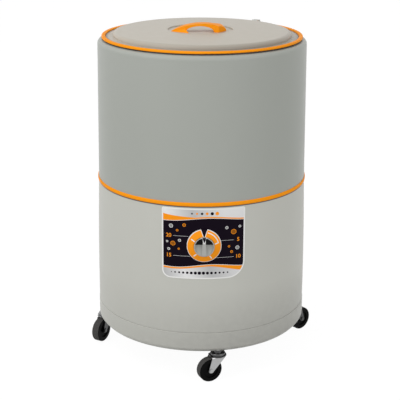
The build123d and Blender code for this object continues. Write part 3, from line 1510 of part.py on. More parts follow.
for name, heading in caster_headings.items():
    place = caster_spots[name]
    way = Vector(cos(radians(heading)), sin(radians(heading)), 0)
    across = Vector(-way.Y, way.X, 0)
    axle = place + way * caster_trail + Vector(0, 0, wheel_r)

    def across_plane(start):
        """A plane square to the axle's line, centred on the axle, facing along it."""
        return Plane(origin=axle + across * start, x_dir=way, z_dir=across)

    with BuildPart() as caster_fork:
        post((place.X, place.Y), crown_r, crown_plate_z, crown_plate_top_z)
        with BuildSketch(Plane(origin=place + Vector(0, 0, crown_plate_z), x_dir=way, z_dir=(0, 0, 1))):
            with Locations(((leg_rear - leg_front) / 2, 0)):
                Rectangle(leg_rear + leg_front, leg_out * 2)
        extrude(amount=crown_plate_thick)
        for start in (-leg_out, leg_in):
            leg_origin = place + across * (start + leg_thick)
            with BuildSketch(Plane(origin=leg_origin, x_dir=way, z_dir=across * -1)):
                with Locations(((leg_rear - leg_front) / 2, crown_plate_z + crown_plate_thick / 2)):
                    Rectangle(leg_rear + leg_front, crown_plate_thick)
                with Locations((caster_trail, wheel_r)):
                    Circle(leg_tip_r)
                make_hull()
            extrude(amount=leg_thick)
        bar(across_plane(-leg_out - overrun), axle_r + running_gap, (leg_out + overrun) * 2,
            mode=Mode.SUBTRACT)
        post((place.X, place.Y), crown_race_r, crown_plate_top_z, crown_plate_top_z + crown_race_tall)
        fillet(caster_fork.edges().filter_by(GeomType.CIRCLE).group_by(Axis.Z)[-1], crown_race_round)
        post((place.X, place.Y), crown_neck_r, crown_plate_top_z + crown_race_tall, crown_top_z)
        post((place.X, place.Y), stem_r, crown_top_z, crown_top_z + stem_long)
        bar(across_plane(-leg_out - axle_head_tall), axle_head_r, axle_head_tall)
        bar(across_plane(leg_out), axle_head_r, axle_head_tall)
        bar(across_plane(-leg_out), axle_r, leg_out * 2)
    finish(caster_fork, f"caster_fork_{name}")

    with BuildPart() as caster_wheel:
        bar(across_plane(-wheel_wide / 2), wheel_r, wheel_wide)
        fillet(caster_wheel.edges().filter_by(GeomType.CIRCLE), wheel_round)
        for start in (-wheel_wide / 2, wheel_wide / 2 - hub_recess_deep):
            with BuildSketch(across_plane(start)):
                Circle(hub_recess_r)
                Circle(hub_r, mode=Mode.SUBTRACT)
            extrude(amount=hub_recess_deep, mode=Mode.SUBTRACT)
        bar(across_plane(-wheel_wide), axle_r + running_gap, wheel_wide * 2, mode=Mode.SUBTRACT)
    finish(caster_wheel, f"caster_wheel_{name}")
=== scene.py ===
"""Round washing machine, dressed for the render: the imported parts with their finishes, and finer pieces."""

import json
from math import cos, hypot, pi, radians, sin, tau

import bmesh
import bpy
from mathutils import Matrix, Vector
from mathutils.bvhtree import BVHTree


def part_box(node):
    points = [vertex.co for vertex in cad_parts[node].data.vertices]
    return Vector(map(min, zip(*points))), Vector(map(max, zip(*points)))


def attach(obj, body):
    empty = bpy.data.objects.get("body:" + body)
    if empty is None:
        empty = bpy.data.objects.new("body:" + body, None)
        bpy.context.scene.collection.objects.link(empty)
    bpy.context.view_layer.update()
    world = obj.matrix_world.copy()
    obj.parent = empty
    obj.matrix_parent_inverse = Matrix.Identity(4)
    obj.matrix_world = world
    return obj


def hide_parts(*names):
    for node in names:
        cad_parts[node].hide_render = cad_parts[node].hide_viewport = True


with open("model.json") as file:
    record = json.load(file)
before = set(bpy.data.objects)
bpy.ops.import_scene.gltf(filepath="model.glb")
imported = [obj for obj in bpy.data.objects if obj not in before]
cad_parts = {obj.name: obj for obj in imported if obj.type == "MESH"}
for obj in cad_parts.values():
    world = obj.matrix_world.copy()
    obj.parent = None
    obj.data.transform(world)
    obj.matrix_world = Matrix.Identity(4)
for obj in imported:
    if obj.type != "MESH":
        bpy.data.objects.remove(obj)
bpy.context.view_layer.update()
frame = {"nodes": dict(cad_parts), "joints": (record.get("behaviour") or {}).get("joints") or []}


# Camera and room: the camera stands three metres in front of the machine and looks down on it a little.
# The floor and the sky are white. Large soft lamps stand at the left and the right, and one hangs above.
camera_azimuth = radians(-1.2)
camera_reach = 2.9925
camera_height = 1.376
camera_pitch = radians(17.77)
camera_roll = 0.0045
camera_data = bpy.data.cameras.new("camera")
camera_data.sensor_width = 36
camera_data.lens = 100.45
camera_data.shift_x = -0.0035
camera = bpy.data.objects.new("camera", camera_data)
bpy.context.scene.collection.objects.link(camera)
camera_place = (camera_reach * sin(camera_azimuth), -camera_reach * cos(camera_azimuth), camera_height)
camera.matrix_world = (
    Matrix.Translation(camera_place)
    @ Matrix.Rotation(camera_azimuth, 4, "Z")
    @ Matrix.Rotation(pi / 2 - camera_pitch, 4, "X")
    @ Matrix.Rotation(camera_roll, 4, "Z")
)
bpy.context.scene.camera = camera
bpy.context.scene.view_settings.view_transform = "Standard"


class Term:
    """A value in a material's nodes, on which Python's operators add Math nodes."""

    def __init__(self, finish, socket):
        self.finish = finish
        self.socket = socket

    def other(self, name):
        """Another output of the same node."""
        return Term(self.finish, self.socket.node.outputs[name])

    def math(self, operation, first, second=0.0):
        """A Math node with two values."""
        return self.finish.node("Math", {"operation": operation}, {0: first, 1: second})

    def apply(self, operation, second=0.0):
        """A Math node on this value, such as its sine."""
        return self.math(operation, self, second)

    def __add__(self, other):
        return self.math("ADD", self, other)

    __radd__ = __add__

    def __sub__(self, other):
        return self.math("SUBTRACT", self, other)

    def __rsub__(self, other):
        return self.math("SUBTRACT", other, self)

    def __mul__(self, other):
        return self.math("MULTIPLY", self, other)

    __rmul__ = __mul__

    def __truediv__(self, other):
        return self.math("DIVIDE", self, other)

    def __gt__(self, other):
        return self.math("GREATER_THAN", self, other)

    def __lt__(self, other):
        return self.math("LESS_THAN", self, other)

    def __abs__(self):
        return self.math("ABSOLUTE", self)


class Finish:
    """The nodes of a material or of the sky, added one call at a time."""

    def __init__(self, owner, output="OutputMaterial"):
        self.owner = bpy.data.materials.new(owner) if isinstance(owner, str) else owner
        self.owner.use_nodes = True
        self.nodes = self.owner.node_tree.nodes
        self.nodes.clear()
        self.output = self.nodes.new("ShaderNode" + output)

    def node(self, kind, settings=None, values=None, out=0):
        """Add a node: its settings first, then the values or links of its sockets. Returns one output."""
        node = self.nodes.new("ShaderNode" + kind)
        for key, value in (settings or {}).items():
            if key == "stops":
                while len(node.color_ramp.elements) < len(value):
                    node.color_ramp.elements.new(1.0)
                for element, (place, colour) in zip(node.color_ramp.elements, value):
                    element.position = place
                    element.color = colour
            else:
                setattr(node, key, value)
        for key, value in (values or {}).items():
            self.feed(self.socket(node.inputs, key), value)
        return Term(self, self.socket(node.outputs, out))

    def socket(self, sockets, key):
        """A socket of a node by its number, or by its name among those in use."""
        if isinstance(key, int):
            return sockets[key]
        return next(s for s in sockets if s.enabled and s.name == key)

    def feed(self, socket, value):
        """Set a socket, or link it."""
        if isinstance(value, Term):
            self.owner.node_tree.links.new(value.socket, socket)
        else:
            socket.default_value = value

    def place(self):
        """The place on the object, in metres."""
        return self.node("TexCoord", out="Object")

    def axes(self):
        """The place on the object as three values."""
        split = self.node("SeparateXYZ", values={0: self.place()})
        return split, split.other("Y"), split.other("Z")

    def highest(self, first, second):
        """The larger of two values."""
        return self.node("Math", {"operation": "MAXIMUM"}, {0: first, 1: second})

    def fade(self, value, start, end, first=0.0, last=1.0):
        """A value that goes from first to last while another one goes from start to end."""
        return self.node("MapRange", values={
            "Value": value, "From Min": start, "From Max": end, "To Min": first, "To Max": last,
        })

    def noise(self, scale, detail, stretch=(1, 1, 1)):
        """Noise from 0 to 1 whose cells are one metre over the scale, longer where the stretch is small."""
        where = self.node("Mapping", values={"Vector": self.place(), "Scale": stretch})
        return self.node("TexNoise", values={"Vector": where, "Scale": scale, "Detail": detail}, out=0)

    def blend(self, share, first, second):
        """A colour between two colours."""
        values = {"Factor": share, "A": first, "B": second}
        return self.node("Mix", {"data_type": "RGBA"}, values, out="Result")

    def bump(self, height, depth):
        """A normal bent by a height from 0 to 1, of a depth in metres."""
        return self.node("Bump", values={"Height": height, "Distance": depth, "Strength": 1.0})

    def along(self, place, way):
        """How far a place lies along a direction."""
        return self.node("VectorMath", {"operation": "DOT_PRODUCT"}, {0: place, 1: tuple(way)}, out="Value")

    def distance(self, place, centre):
        """How far a place lies from another."""
        return self.node("VectorMath", {"operation": "DISTANCE"}, {0: place, 1: centre}, out="Value")

    def length(self, x, y, z):
        """The length of an arrow from its three values."""
        arrow = self.node("CombineXYZ", values={0: x, 1: y, 2: z})
        return self.node("VectorMath", {"operation": "LENGTH"}, {0: arrow}, out="Value")

    def surface(self, **values):
        """Finish with a Principled surface; a name's underscores stand for spaces."""
        named = {key.replace("_", " "): value for key, value in values.items()}
        return self.close(self.node("BsdfPrincipled", values=named))

    def close(self, shader):
        """Send a shader to the output."""
        self.feed(self.output.inputs["Surface"], shader)
        return self.owner


def shown(finish):
    """1 on rays that carry the picture, straight, mirrored or through glass, and 0 on those of the light."""
    camera_ray = finish.node("LightPath", out="Is Camera Ray")
    indirect = finish.highest(camera_ray.other("Is Glossy Ray"), camera_ray.other("Is Transmission Ray"))
    return finish.highest(camera_ray, indirect)


white = (1, 1, 1, 1)
floor_half = 20
floor_glow = 1.11
floor_glow_share = 0.86
paper = Finish("floor_white")
paper_lit = paper.node("BsdfDiffuse", values={"Color": (0.62, 0.62, 0.62, 1)})
paper_bright = paper.node("Emission", values={"Color": white, "Strength": floor_glow})
paper_mix = {0: shown(paper) * floor_glow_share, 1: paper_lit, 2: paper_bright}
paper.close(paper.node("MixShader", values=paper_mix))
floor_mesh = bmesh.new()
bmesh.ops.create_grid(floor_mesh, x_segments=1, y_segments=1, size=floor_half)
floor_data = bpy.data.meshes.new("floor")
floor_mesh.to_mesh(floor_data)
floor_mesh.free()
floor_data.materials.append(paper.owner)
floor = bpy.data.objects.new("floor", floor_data)
bpy.context.scene.collection.objects.link(floor)

bpy.context.scene.world = bpy.data.worlds.new("room")
sky = Finish(bpy.context.scene.world, "OutputWorld")
sky_level = 0.55
sky_strength = shown(sky) * (1 - sky_level) + sky_level
sky.close(sky.node("Background", values={"Color": white, "Strength": sky_strength}))
lamp_aim = Vector((0, 0, 0.5))


def lamp(name, azimuth, reach, height, width, tall, watts):
    """A rectangular soft lamp that faces the middle of the machine."""
    data = bpy.data.lights.new(name, "AREA")
    data.shape = "RECTANGLE"
    data.size = width
    data.size_y = tall
    data.energy = watts
    piece = bpy.data.objects.new(name, data)
    bpy.context.scene.collection.objects.link(piece)
    place = Vector((reach * sin(radians(azimuth)), -reach * cos(radians(azimuth)), height))
    turned = (lamp_aim - place).to_track_quat("-Z", "Y").to_matrix().to_4x4()
    piece.matrix_world = Matrix.Translation(place) @ turned


lamp("lamp_left", azimuth=-51, reach=2.8, height=1.7, width=1.6, tall=2.4, watts=26.5)
lamp("lamp_right", azimuth=42, reach=3.2, height=1.6, width=1.8, tall=2.4, watts=25)
lamp("lamp_top", azimuth=-62, reach=1.3, height=3.0, width=2.0, tall=2.0, watts=17)


# Base pan: tray moulded in the same pale grey plastic as the lower shell, with the rounded foot edge.
# It carries the casters and the drive. Painted shade with blotchy dust darkens it towards the floor,
# more on the right than on the left, and the foot of the lower shell too.
pan_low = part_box("base_pan")[0]
dust_shade_top = 0.26
dust_shade_foot_share = 0.5
dust_shade_left_x = -0.25
dust_shade_right_x = 0.05
dust_shade_left_share = 0.3
dust_shade_right_share = 1.1


def grey(level, warmth=0.0):
    """A grey of a linear level, warmer or cooler."""
    return (level * (1 + warmth), level, level * (1 - warmth), 1)


def dress(name, material):
    """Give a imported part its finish."""
    mesh = frame["nodes"][name].data
    mesh.materials.clear()
    mesh.materials.append(material)


def moulded(name, colour, rough=0.36, mottle=0.02, grain=0.00002, gloss=0.3, dirt_and_shade=()):
    """Satin moulded plastic: fine grain, slow changes of tone, and the layers of dirt and painted shade on
    it.
    """
    finish = Finish(name)
    slow = finish.noise(5, 3, (1, 1, 0.4))
    fine = finish.noise(1500, 2)
    tone = 1 - mottle + slow * (2 * mottle)
    base = finish.node("Mix", {"data_type": "RGBA", "blend_type": "MULTIPLY"}, {
        "Factor": 1.0, "A": colour, "B": finish.node("CombineColor", values={0: tone, 1: tone, 2: tone}),
    }, out="Result")
    for layer in dirt_and_shade:
        base = layer(finish, base)
    return finish.surface(
        Base_Color=base,
        Roughness=rough - 0.05 + finish.noise(40, 2) * 0.1,
        Specular_IOR_Level=gloss,
        Normal=finish.bump(fine, grain),
    )


def floor_dust(finish, base):
    """Blotchy dust with painted shade, darker towards the foot and towards the right."""
    x, _, z = finish.axes()
    near_floor = finish.fade(z, pan_low.z, dust_shade_top, dust_shade_foot_share, 0.0)
    near_right = finish.fade(x, dust_shade_left_x, dust_shade_right_x, dust_shade_left_share, dust_shade_right_share)
    share = near_floor * near_right * (0.5 + finish.noise(60, 4) * 0.5)
    return finish.blend(share, base, grey(0.20, 0.04))


def dark_seam(clear_z, dark_z):
    """A layer of painted shadow in a joint, none at one height and dark at another and past it."""
    def layer(finish, base):
        return finish.blend(finish.fade(finish.axes()[2], clear_z, dark_z, last=0.92), base, grey(0.03))
    return layer


band_low, band_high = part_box("trim_band")
# Painted shadow in the seam under the trim band.
band_seam_shadow = dark_seam(clear_z=band_low.z - 0.0042, dark_z=band_low.z - 0.0018)
shell_colour = (0.560, 0.562, 0.517, 1)
shell_finish = moulded("shell_grey", shell_colour, gloss=0.08, dirt_and_shade=(floor_dust, band_seam_shadow))
dress("base_pan", shell_finish)


# Lower and upper shell: the two blow-moulded halves of the cabinet, screwed together by their flanges.
# The lower one is the pan's pale grey, with a painted shadow in the seam under the band. The upper one is
# cooler.
dress("lower_shell", shell_finish)
cool_finish = moulded("cool_grey", (0.392, 0.408, 0.376, 1), rough=0.33, gloss=0.1)
dress("upper_shell", cool_finish)


# Trim band and rim ring: extruded hoops in orange plastic, snapped over the joint and the flange.
# The band has a half-round face, and its inner face lies on the foot of the upper shell.
def spun(outline, steps, centre=(0.0, 0.0)):
    """A closed outline of (radius, height) points turned round an upright axis."""
    mesh = bmesh.new()
    corners = [mesh.verts.new((centre[0] + radius, centre[1], height)) for radius, height in outline]
    sides = [mesh.edges.new(pair) for pair in zip(corners, corners[1:] + corners[:1])]
    bmesh.ops.spin(mesh, geom=corners + sides, cent=(centre[0], centre[1], 0), axis=(0, 0, 1),
                   angle=tau, steps=steps, use_merge=True)
    bmesh.ops.remove_doubles(mesh, verts=mesh.verts, dist=0.000001)
    return mesh


def lay(name, mesh, material, body, replaces=(), smooth=radians(35)):
    """Turn a finished bmesh into a piece that rides on a body."""
    bmesh.ops.recalc_face_normals(mesh, faces=mesh.faces)
    data = bpy.data.meshes.new(name)
    mesh.to_mesh(data)
    mesh.free()
    data.materials.append(material)
    data.shade_smooth()
    data.set_sharp_from_angle(angle=smooth)
    piece = bpy.data.objects.new(name, data)
    bpy.context.scene.collection.objects.link(piece)
    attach(piece, body)
    if replaces:
        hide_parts(*replaces)
    return piece


orange_colour = (1.0, 0.335, 0.012, 1)
orange_finish = moulded("orange_plastic", orange_colour, mottle=0.03, gloss=0.012)
band_bore_r = min(hypot(v.co.x, v.co.y) for v in frame["nodes"]["trim_band"].data.vertices)
band_deep = band_high.x - band_bore_r
band_middle = (band_low.z + band_high.z) / 2
band_half = (band_high.z - band_low.z) / 2
band_edge_share = 0.35
band_round_steps = 180
band_face_steps = 12
band_outline = [(band_bore_r, band_high.z), (band_bore_r, band_low.z)]
for step in range(band_face_steps + 1):
    turn = pi * (step / band_face_steps - 0.5)
    band_outline.append((
        band_bore_r + band_deep * (band_edge_share + (1 - band_edge_share) * cos(turn)),
        band_middle + band_half * sin(turn),
    ))
band_mesh = spun(band_outline, band_round_steps)
lay("trim_hoop", band_mesh, orange_finish, "cabinet", ("trim_band",))
ring_low, ring_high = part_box("rim_ring")
# Painted shadow along the lower edge of the rim ring.
ring_seam_shadow = dark_seam(clear_z=ring_low.z + 0.0014, dark_z=ring_low.z + 0.0006)
dress("rim_ring", moulded("rim_orange", orange_colour, mottle=0.03, gloss=0.012, dirt_and_shade=(ring_seam_shadow,)))


# Tub, strainer and agitator: white moulded polypropylene with a slight sheen. The tub hangs by its flange
# on the upper shell, and a nut clamps its floor to the gearbox's neck. The outer edge of the flange lies
# in the narrow gap under the rim ring, where painted shade darkens it.
tub_white = (0.78, 0.785, 0.76, 1)
tub_finish = moulded("tub_white", tub_white, rough=0.3, mottle=0.015)
for part in ("drain_strainer", "clamp_nut", "agitator", "agitator_cap"):
    dress(part, tub_finish)
flange_shade_wide = 0.0085
flange_shade_deep = 0.0045
flange = Finish("tub_flange_white")
flange_x, flange_y, flange_z = flange.axes()
flange_reach = flange.length(flange_x, flange_y, 0.0)
# Painted shade on the flange's outer edge, in the gap under the rim ring.
flange_shade = (flange_reach > ring_high.x - flange_shade_wide) * (flange_z > ring_low.z - flange_shade_deep)
flange_tone = flange.blend(flange.noise(5, 3), tub_white, grey(0.76, 0.01))
dress("wash_tub", flange.surface(
    Base_Color=flange.blend(flange_shade, flange_tone, grey(0.03)),
    Roughness=0.25 + flange.noise(40, 2) * 0.1,
    Normal=flange.bump(flange.noise(1500, 2), 0.00002),
))


# Front label: thin plastic panel glued on the lower shell, printed dark between two silver waves.
# An orange line runs along each wave and widens to one side. Dots stand in the silver, bubbles in the dark.
# Four leader lines go from the timer's dial, in the middle, to the plain minutes.
label_low, label_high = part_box("front_label")
dial_low, dial_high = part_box("timer_dial")
dial_z = (dial_low.z + dial_high.z) / 2
dial_r = (dial_high.z - dial_low.z) / 2
label_half = label_high.x
label_border = 0.0036
label_left_r = 0.021
label_right_r = 0.044
foot_silver = 0.036
head_silver = 0.031
wave_tall = 0.0045
sheen_slant = 1.4
label = Finish("label_film")
label_x, _, label_z = label.axes()
label_white = (0.84, 0.84, 0.82, 1)
label_dark = (0.005, 0.002, 0.007, 1)
label_orange = (1.0, 0.32, 0.012, 1)


def within(value, low, high):
    """1 where a value lies between two limits."""
    return (value > low) * (value < high)


def wave(stretch, shift):
    """A low wave across the label."""
    return (label_x * stretch + shift).apply("SINE") * wave_tall


silver_sheen = label.node("ValToRGB", {"stops": [
    (0.0, grey(0.44)), (0.3, grey(0.82)), (0.62, grey(0.52)), (1.0, grey(0.78)),
]}, {0: label_x / (2 * label_half) + 0.5 + (label_z - label_low.z) * sheen_slant})
above_foot = label_z - label_low.z - foot_silver - wave(stretch=31, shift=0.9)
below_head = label_high.z - head_silver - wave(stretch=27, shift=-2.0) - label_z
picture = label.blend((above_foot > 0.0) * (below_head > 0.0), silver_sheen, label_dark)

white_line = 0.0012
widening_from = 0.02
silver_edges = (
    (above_foot, 0.0055, label.highest(label_x - widening_from, 0.0) * 0.10),
    (below_head, 0.0045, label.highest(-widening_from - label_x, 0.0) * 0.17),
)
for past_edge, orange_line, widening in silver_edges:
    orange_stripe = within(past_edge, -orange_line - widening, -white_line)
    picture = label.blend(orange_stripe, picture, label_orange)
    picture = label.blend(within(past_edge, -white_line, 0.0), picture, label_white)

flat_place = label.node("CombineXYZ", values={0: label_x, 1: 0.0, 2: label_z})
bubble_wall = 0.0010
bubble_clear_share = 0.3
bubbles = (
    (-0.084, 0.050, 0.0052, label_white), (-0.068, 0.039, 0.0030, label_orange),
    (-0.050, 0.054, 0.0044, label_orange), (-0.062, 0.012, 0.0040, label_white),
    (-0.079, 0.003, 0.0062, label_orange), (-0.094, 0.007, 0.0028, label_white),
    (-0.064, -0.011, 0.0028, label_orange), (-0.090, -0.013, 0.0036, label_white),
    (0.060, 0.046, 0.0040, label_white), (0.078, 0.034, 0.0068, label_orange),
    (0.094, 0.047, 0.0034, label_white), (0.066, -0.005, 0.0030, label_orange),
    (0.088, -0.010, 0.0050, label_white), (0.073, -0.020, 0.0036, label_orange),
)
for across, rise, radius, tint in bubbles:
    distance = label.distance(flat_place, (across, 0, dial_z + rise))
    picture = label.blend((distance < radius) * bubble_clear_share, picture, tint)
    picture = label.blend(within(distance, radius - bubble_wall, radius), picture, tint)

head_dots_from = -0.030
head_dots_pitch = 0.013
head_dots_drop = 0.0135
head_dot_r = 0.0022
head_dot_growth = 0.0005
for number, tint in enumerate((label_dark, label_orange) * 3):
    centre = (head_dots_from + number * head_dots_pitch, 0, label_high.z - head_dots_drop)
    head_dot = label.distance(flat_place, centre) < head_dot_r + number * head_dot_growth
    picture = label.blend(head_dot, picture, tint)

figures = ((5, 1, 0.012), (10, 1, -0.034), (15, -1, -0.030), (20, -1, 0.024))
figure_across = 0.090
figure_room = 0.0115
lead_gap = 0.0015
lead_half = 0.0004
lead_strength = 0.7
for _, side, rise in figures:
    lead_from = (dial_r ** 2 - rise ** 2) ** 0.5 + lead_gap
    lead = within(label_x * side, lead_from, figure_across - figure_room)
    on_lead = abs(label_z - dial_z - rise) < lead_half
    picture = label.blend(lead * on_lead * lead_strength, picture, label_white)

foot_dots_pitch = 0.0105
foot_dots_rise = 0.0165
foot_dots_left = -0.084
foot_dots_middle = -0.008
foot_dots_right = 0.070
foot_dot_r = 0.0046
foot_dot_shrink = 0.036
foot_dot_x = (label_x / foot_dots_pitch).apply("ROUND") * foot_dots_pitch
foot_dot_reach = label.length(label_x - foot_dot_x, label_z - label_low.z - foot_dots_rise, 0.0)
foot_dot = foot_dot_reach < foot_dot_r - abs(foot_dot_x - foot_dots_middle) * foot_dot_shrink
foot_dots_row = within(label_x, foot_dots_left, foot_dots_right)
picture = label.blend(foot_dot * foot_dots_row, picture, label_dark)


def edge_distance():
    """How far a point of the label lies inside its outline, whose lower corners are round."""
    radius = label_left_r + (label_x > 0.0) * (label_right_r - label_left_r)
    into_x = label.highest(radius - label_half + abs(label_x), 0.0)
    into_z = label.highest(radius - label_z + label_low.z, 0.0)
    return radius - label.length(into_x, 0.0, into_z)


picture = label.blend(edge_distance() < label_border, picture, label_white)
picture = label.blend(label_z > label_high.z - label_border, picture, label_white)
dress("front_label", label.surface(
    Base_Color=picture,
    Roughness=0.28 + label.noise(300, 2) * 0.08,
    Specular_IOR_Level=0.05,
    Normal=label.bump(label.noise(700, 2), 0.00001),
))


# Minutes: plain figures printed on the label in orange ink, at the ends of the four leader lines.
# Each figure is a very thin film, bent to the round face of the label.
figure_size = 0.014
figure_bold = 0.0003
figure_half_thick = 0.00005
figure_seat = 0.0001
ink = Finish("orange_ink")
ink_colour = ink.blend(ink.noise(900, 2), label_orange, (0.86, 0.29, 0.014, 1))
ink.surface(Base_Color=ink_colour, Roughness=0.5, Specular_IOR_Level=0.1)
label_mesh = bmesh.new()
label_mesh.from_mesh(frame["nodes"]["front_label"].data)
label_face = BVHTree.FromBMesh(label_mesh)
label_mesh.free()
for minutes, side, rise in figures:
    letters = bpy.data.curves.new(f"minutes_{minutes}", "FONT")
    letters.body = str(minutes)
    letters.size = figure_size
    letters.align_x = "CENTER"
    letters.align_y = "CENTER"
    letters.offset = figure_bold
    letters.extrude = figure_half_thick
    words = bpy.data.objects.new(f"minutes_{minutes}_text", letters)
    bpy.context.scene.collection.objects.link(words)
    bpy.context.view_layer.update()
    flat = bpy.data.meshes.new_from_object(words.evaluated_get(bpy.context.evaluated_depsgraph_get()))
    bpy.data.objects.remove(words)
    figure = bmesh.new()
    figure.from_mesh(flat)
    for corner in figure.verts:
        in_front = Vector((side * figure_across + corner.co.x, -1.0, dial_z + rise + corner.co.y))
        hit = label_face.ray_cast(in_front, Vector((0, 1, 0)))[0]
        corner.co = (in_front.x, hit.y - figure_seat - corner.co.z, in_front.z)
    lay(f"minutes_{minutes}", figure, ink.owner, "cabinet")


# Lid: warm grey moulded dome with a flat margin, a lip underneath and a round dish for the handle.
# Painted shade darkens its edge by the rim ring, and the front of the margin a little to the right.
lid_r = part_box("lid_shell")[1].x
lid_gap_shade_wide = 0.007
lid_gap_shade_full = 0.002
lid_margin_shade_wide = 0.032
lid_margin_shade_full = 0.009
lid_shade_x = 0.4
lid_shade_y = -0.92


def lid_dirt(finish, base):
    """Painted shade at the lid's very edge, and on the margin at the front, a little to the right."""
    x, y, _ = finish.axes()
    reach = finish.length(x, y, 0.0)
    gap_shade = finish.fade(reach, lid_r - lid_gap_shade_wide, lid_r - lid_gap_shade_full, last=0.6)
    margin_shade = finish.fade(reach, lid_r - lid_margin_shade_wide, lid_r - lid_margin_shade_full, last=0.55)
    front = finish.highest((x * lid_shade_x + y * lid_shade_y) / lid_r, 0.0)
    return finish.blend(finish.highest(gap_shade, margin_shade * front), base, grey(0.04))


lid_colour = (0.500, 0.462, 0.395, 1)
dress("lid_shell", moulded("lid_grey", lid_colour, rough=0.38, gloss=0.2, dirt_and_shade=(lid_dirt,)))


# Lid handle: bridge moulded in orange plastic, held in the dish by four screws from inside the lid.
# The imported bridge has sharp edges, so a copy of it with a small bevel stands in its place.
flat_edge = radians(1)
sharp_edge = radians(28)


def softened(node, name, material, body, width):
    """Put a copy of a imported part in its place, with its sharp edges rounded."""
    mesh = bmesh.new()
    mesh.from_mesh(frame["nodes"][node].data)
    bmesh.ops.remove_doubles(mesh, verts=mesh.verts, dist=0.00001)
    bmesh.ops.dissolve_limit(mesh, angle_limit=flat_edge, verts=mesh.verts, edges=mesh.edges)
    piece = lay(name, mesh, material, body, (node,))
    rounding = piece.modifiers.new("rounding", "BEVEL")
    rounding.width = width
    rounding.segments = 3
    rounding.limit_method = "ANGLE"
    rounding.angle_limit = sharp_edge
    rounding.harden_normals = True


softened("lid_handle", "handle_bridge", orange_finish, "lid", width=0.0016)


# Screws and clamps: steel with bright zinc plate, brushed fine and stained in clouds. The screws hold the
# cabinet's joint, the handle, the drive and the timer, and the clamps hold the capacitor and the hose.
def zinc(name, colour=(0.62, 0.63, 0.64, 1), rough=0.3):
    """Bright plated steel: fine brushing and cloudy stains."""
    finish = Finish(name)
    cloud = finish.noise(70, 4)
    brush = finish.noise(900, 2, (1, 1, 0.12))
    stained = (colour[0] * 0.78, colour[1] * 0.77, colour[2] * 0.72, 1)
    return finish.surface(
        Base_Color=finish.blend(cloud, colour, stained),
        Metallic=1.0,
        Roughness=rough + cloud * 0.14,
        Normal=finish.bump(brush, 0.00001),
    )


zinc_finish = zinc("zinc_steel")
for part in ("joint_screws", "handle_screws", "drive_screws", "timer_screws"):
    dress(part, zinc_finish)
for part in ("capacitor_clamp", "hose_clamps"):
    dress(part, zinc_finish)


# Drive: ground steel shafts in bronze bushes, oiled iron gears in a cast gearbox, and a motor in a can.
# The gearbox and the motor are screwed on a painted plate, which is screwed on the base pan's pillars.
steel_finish = zinc("bright_steel", (0.56, 0.57, 0.58, 1), 0.22)
for part in ("counter_shaft", "input_shaft", "output_shaft", "agitator_bolt", "timer_spindle"):
    dress(part, steel_finish)


def cast(name, colour, metallic, rough, depth):
    """A cast, sintered or painted surface with a coarse skin."""
    finish = Finish(name)
    skin = finish.noise(500, 5)
    darker = tuple(share * 0.75 for share in colour[:3]) + (1,)
    return finish.surface(
        Base_Color=finish.blend(finish.noise(50, 4), colour, darker),
        Metallic=metallic,
        Roughness=rough + skin * 0.15,
        Normal=finish.bump(skin, depth),
    )


alloy_finish = cast("cast_alloy", (0.58, 0.59, 0.60, 1), metallic=1.0, rough=0.45, depth=0.0001)
iron_finish = cast("gear_iron", (0.20, 0.20, 0.21, 1), metallic=1.0, rough=0.38, depth=0.00005)
paint_finish = cast("painted_plate", (0.055, 0.06, 0.065, 1), metallic=0.0, rough=0.4, depth=0.00003)
core_finish = cast("wound_core", (0.22, 0.13, 0.07, 1), metallic=0.6, rough=0.4, depth=0.0001)
bronze_finish = cast("bronze", (0.50, 0.33, 0.14, 1), metallic=1.0, rough=0.35, depth=0.00003)
for part in ("gearbox_cover", "gearbox_housing", "motor_pulley"):
    dress(part, alloy_finish)
for part in ("counter_gear", "output_gear"):
    dress(part, iron_finish)
for part in ("drive_plate", "motor_housing"):
    dress(part, paint_finish)
for part in ("motor_stator", "motor_rotor"):
    dress(part, core_finish)
dress("gearbox_bushes", bronze_finish)


# Belt and seals: dull black rubber with a chalky bloom. The belt runs round the two pulleys.
# One seal is pressed into the gearbox's neck, and the other is squeezed under the floor of the tub.
rubber = Finish("black_rubber")
bloom = rubber.noise(90, 4)
rubber.surface(
    Base_Color=rubber.blend(bloom, grey(0.018), grey(0.0396, 0.04)),
    Roughness=0.62 + bloom * 0.2,
    Specular_IOR_Level=0.3,
    Normal=rubber.bump(rubber.noise(1800, 3), 0.00004),
)
for part in ("drive_belt", "shaft_seal", "tub_seal"):
    dress(part, rubber.owner)


# Plain plastic parts: the big pulley, the timer's box and the gland for the lead are moulded in black.
# The capacitor's can and the drain's pipe, elbow, hook and clip are pale, and the nozzle in the end of
# the hose is the upper shell's cool grey.
dark_finish = moulded("dark_plastic", grey(0.022), rough=0.42, mottle=0.1, grain=0.00005)
light_finish = moulded("light_plastic", (0.60, 0.605, 0.57, 1), rough=0.42, mottle=0.03)
for part in ("drive_pulley", "timer_box", "cable_gland"):
    dress(part, dark_finish)
for part in ("run_capacitor", "drain_pipe", "drain_elbow", "hose_hook", "hose_clip"):
    dress(part, light_finish)
dress("hose_nozzle", cool_finish)


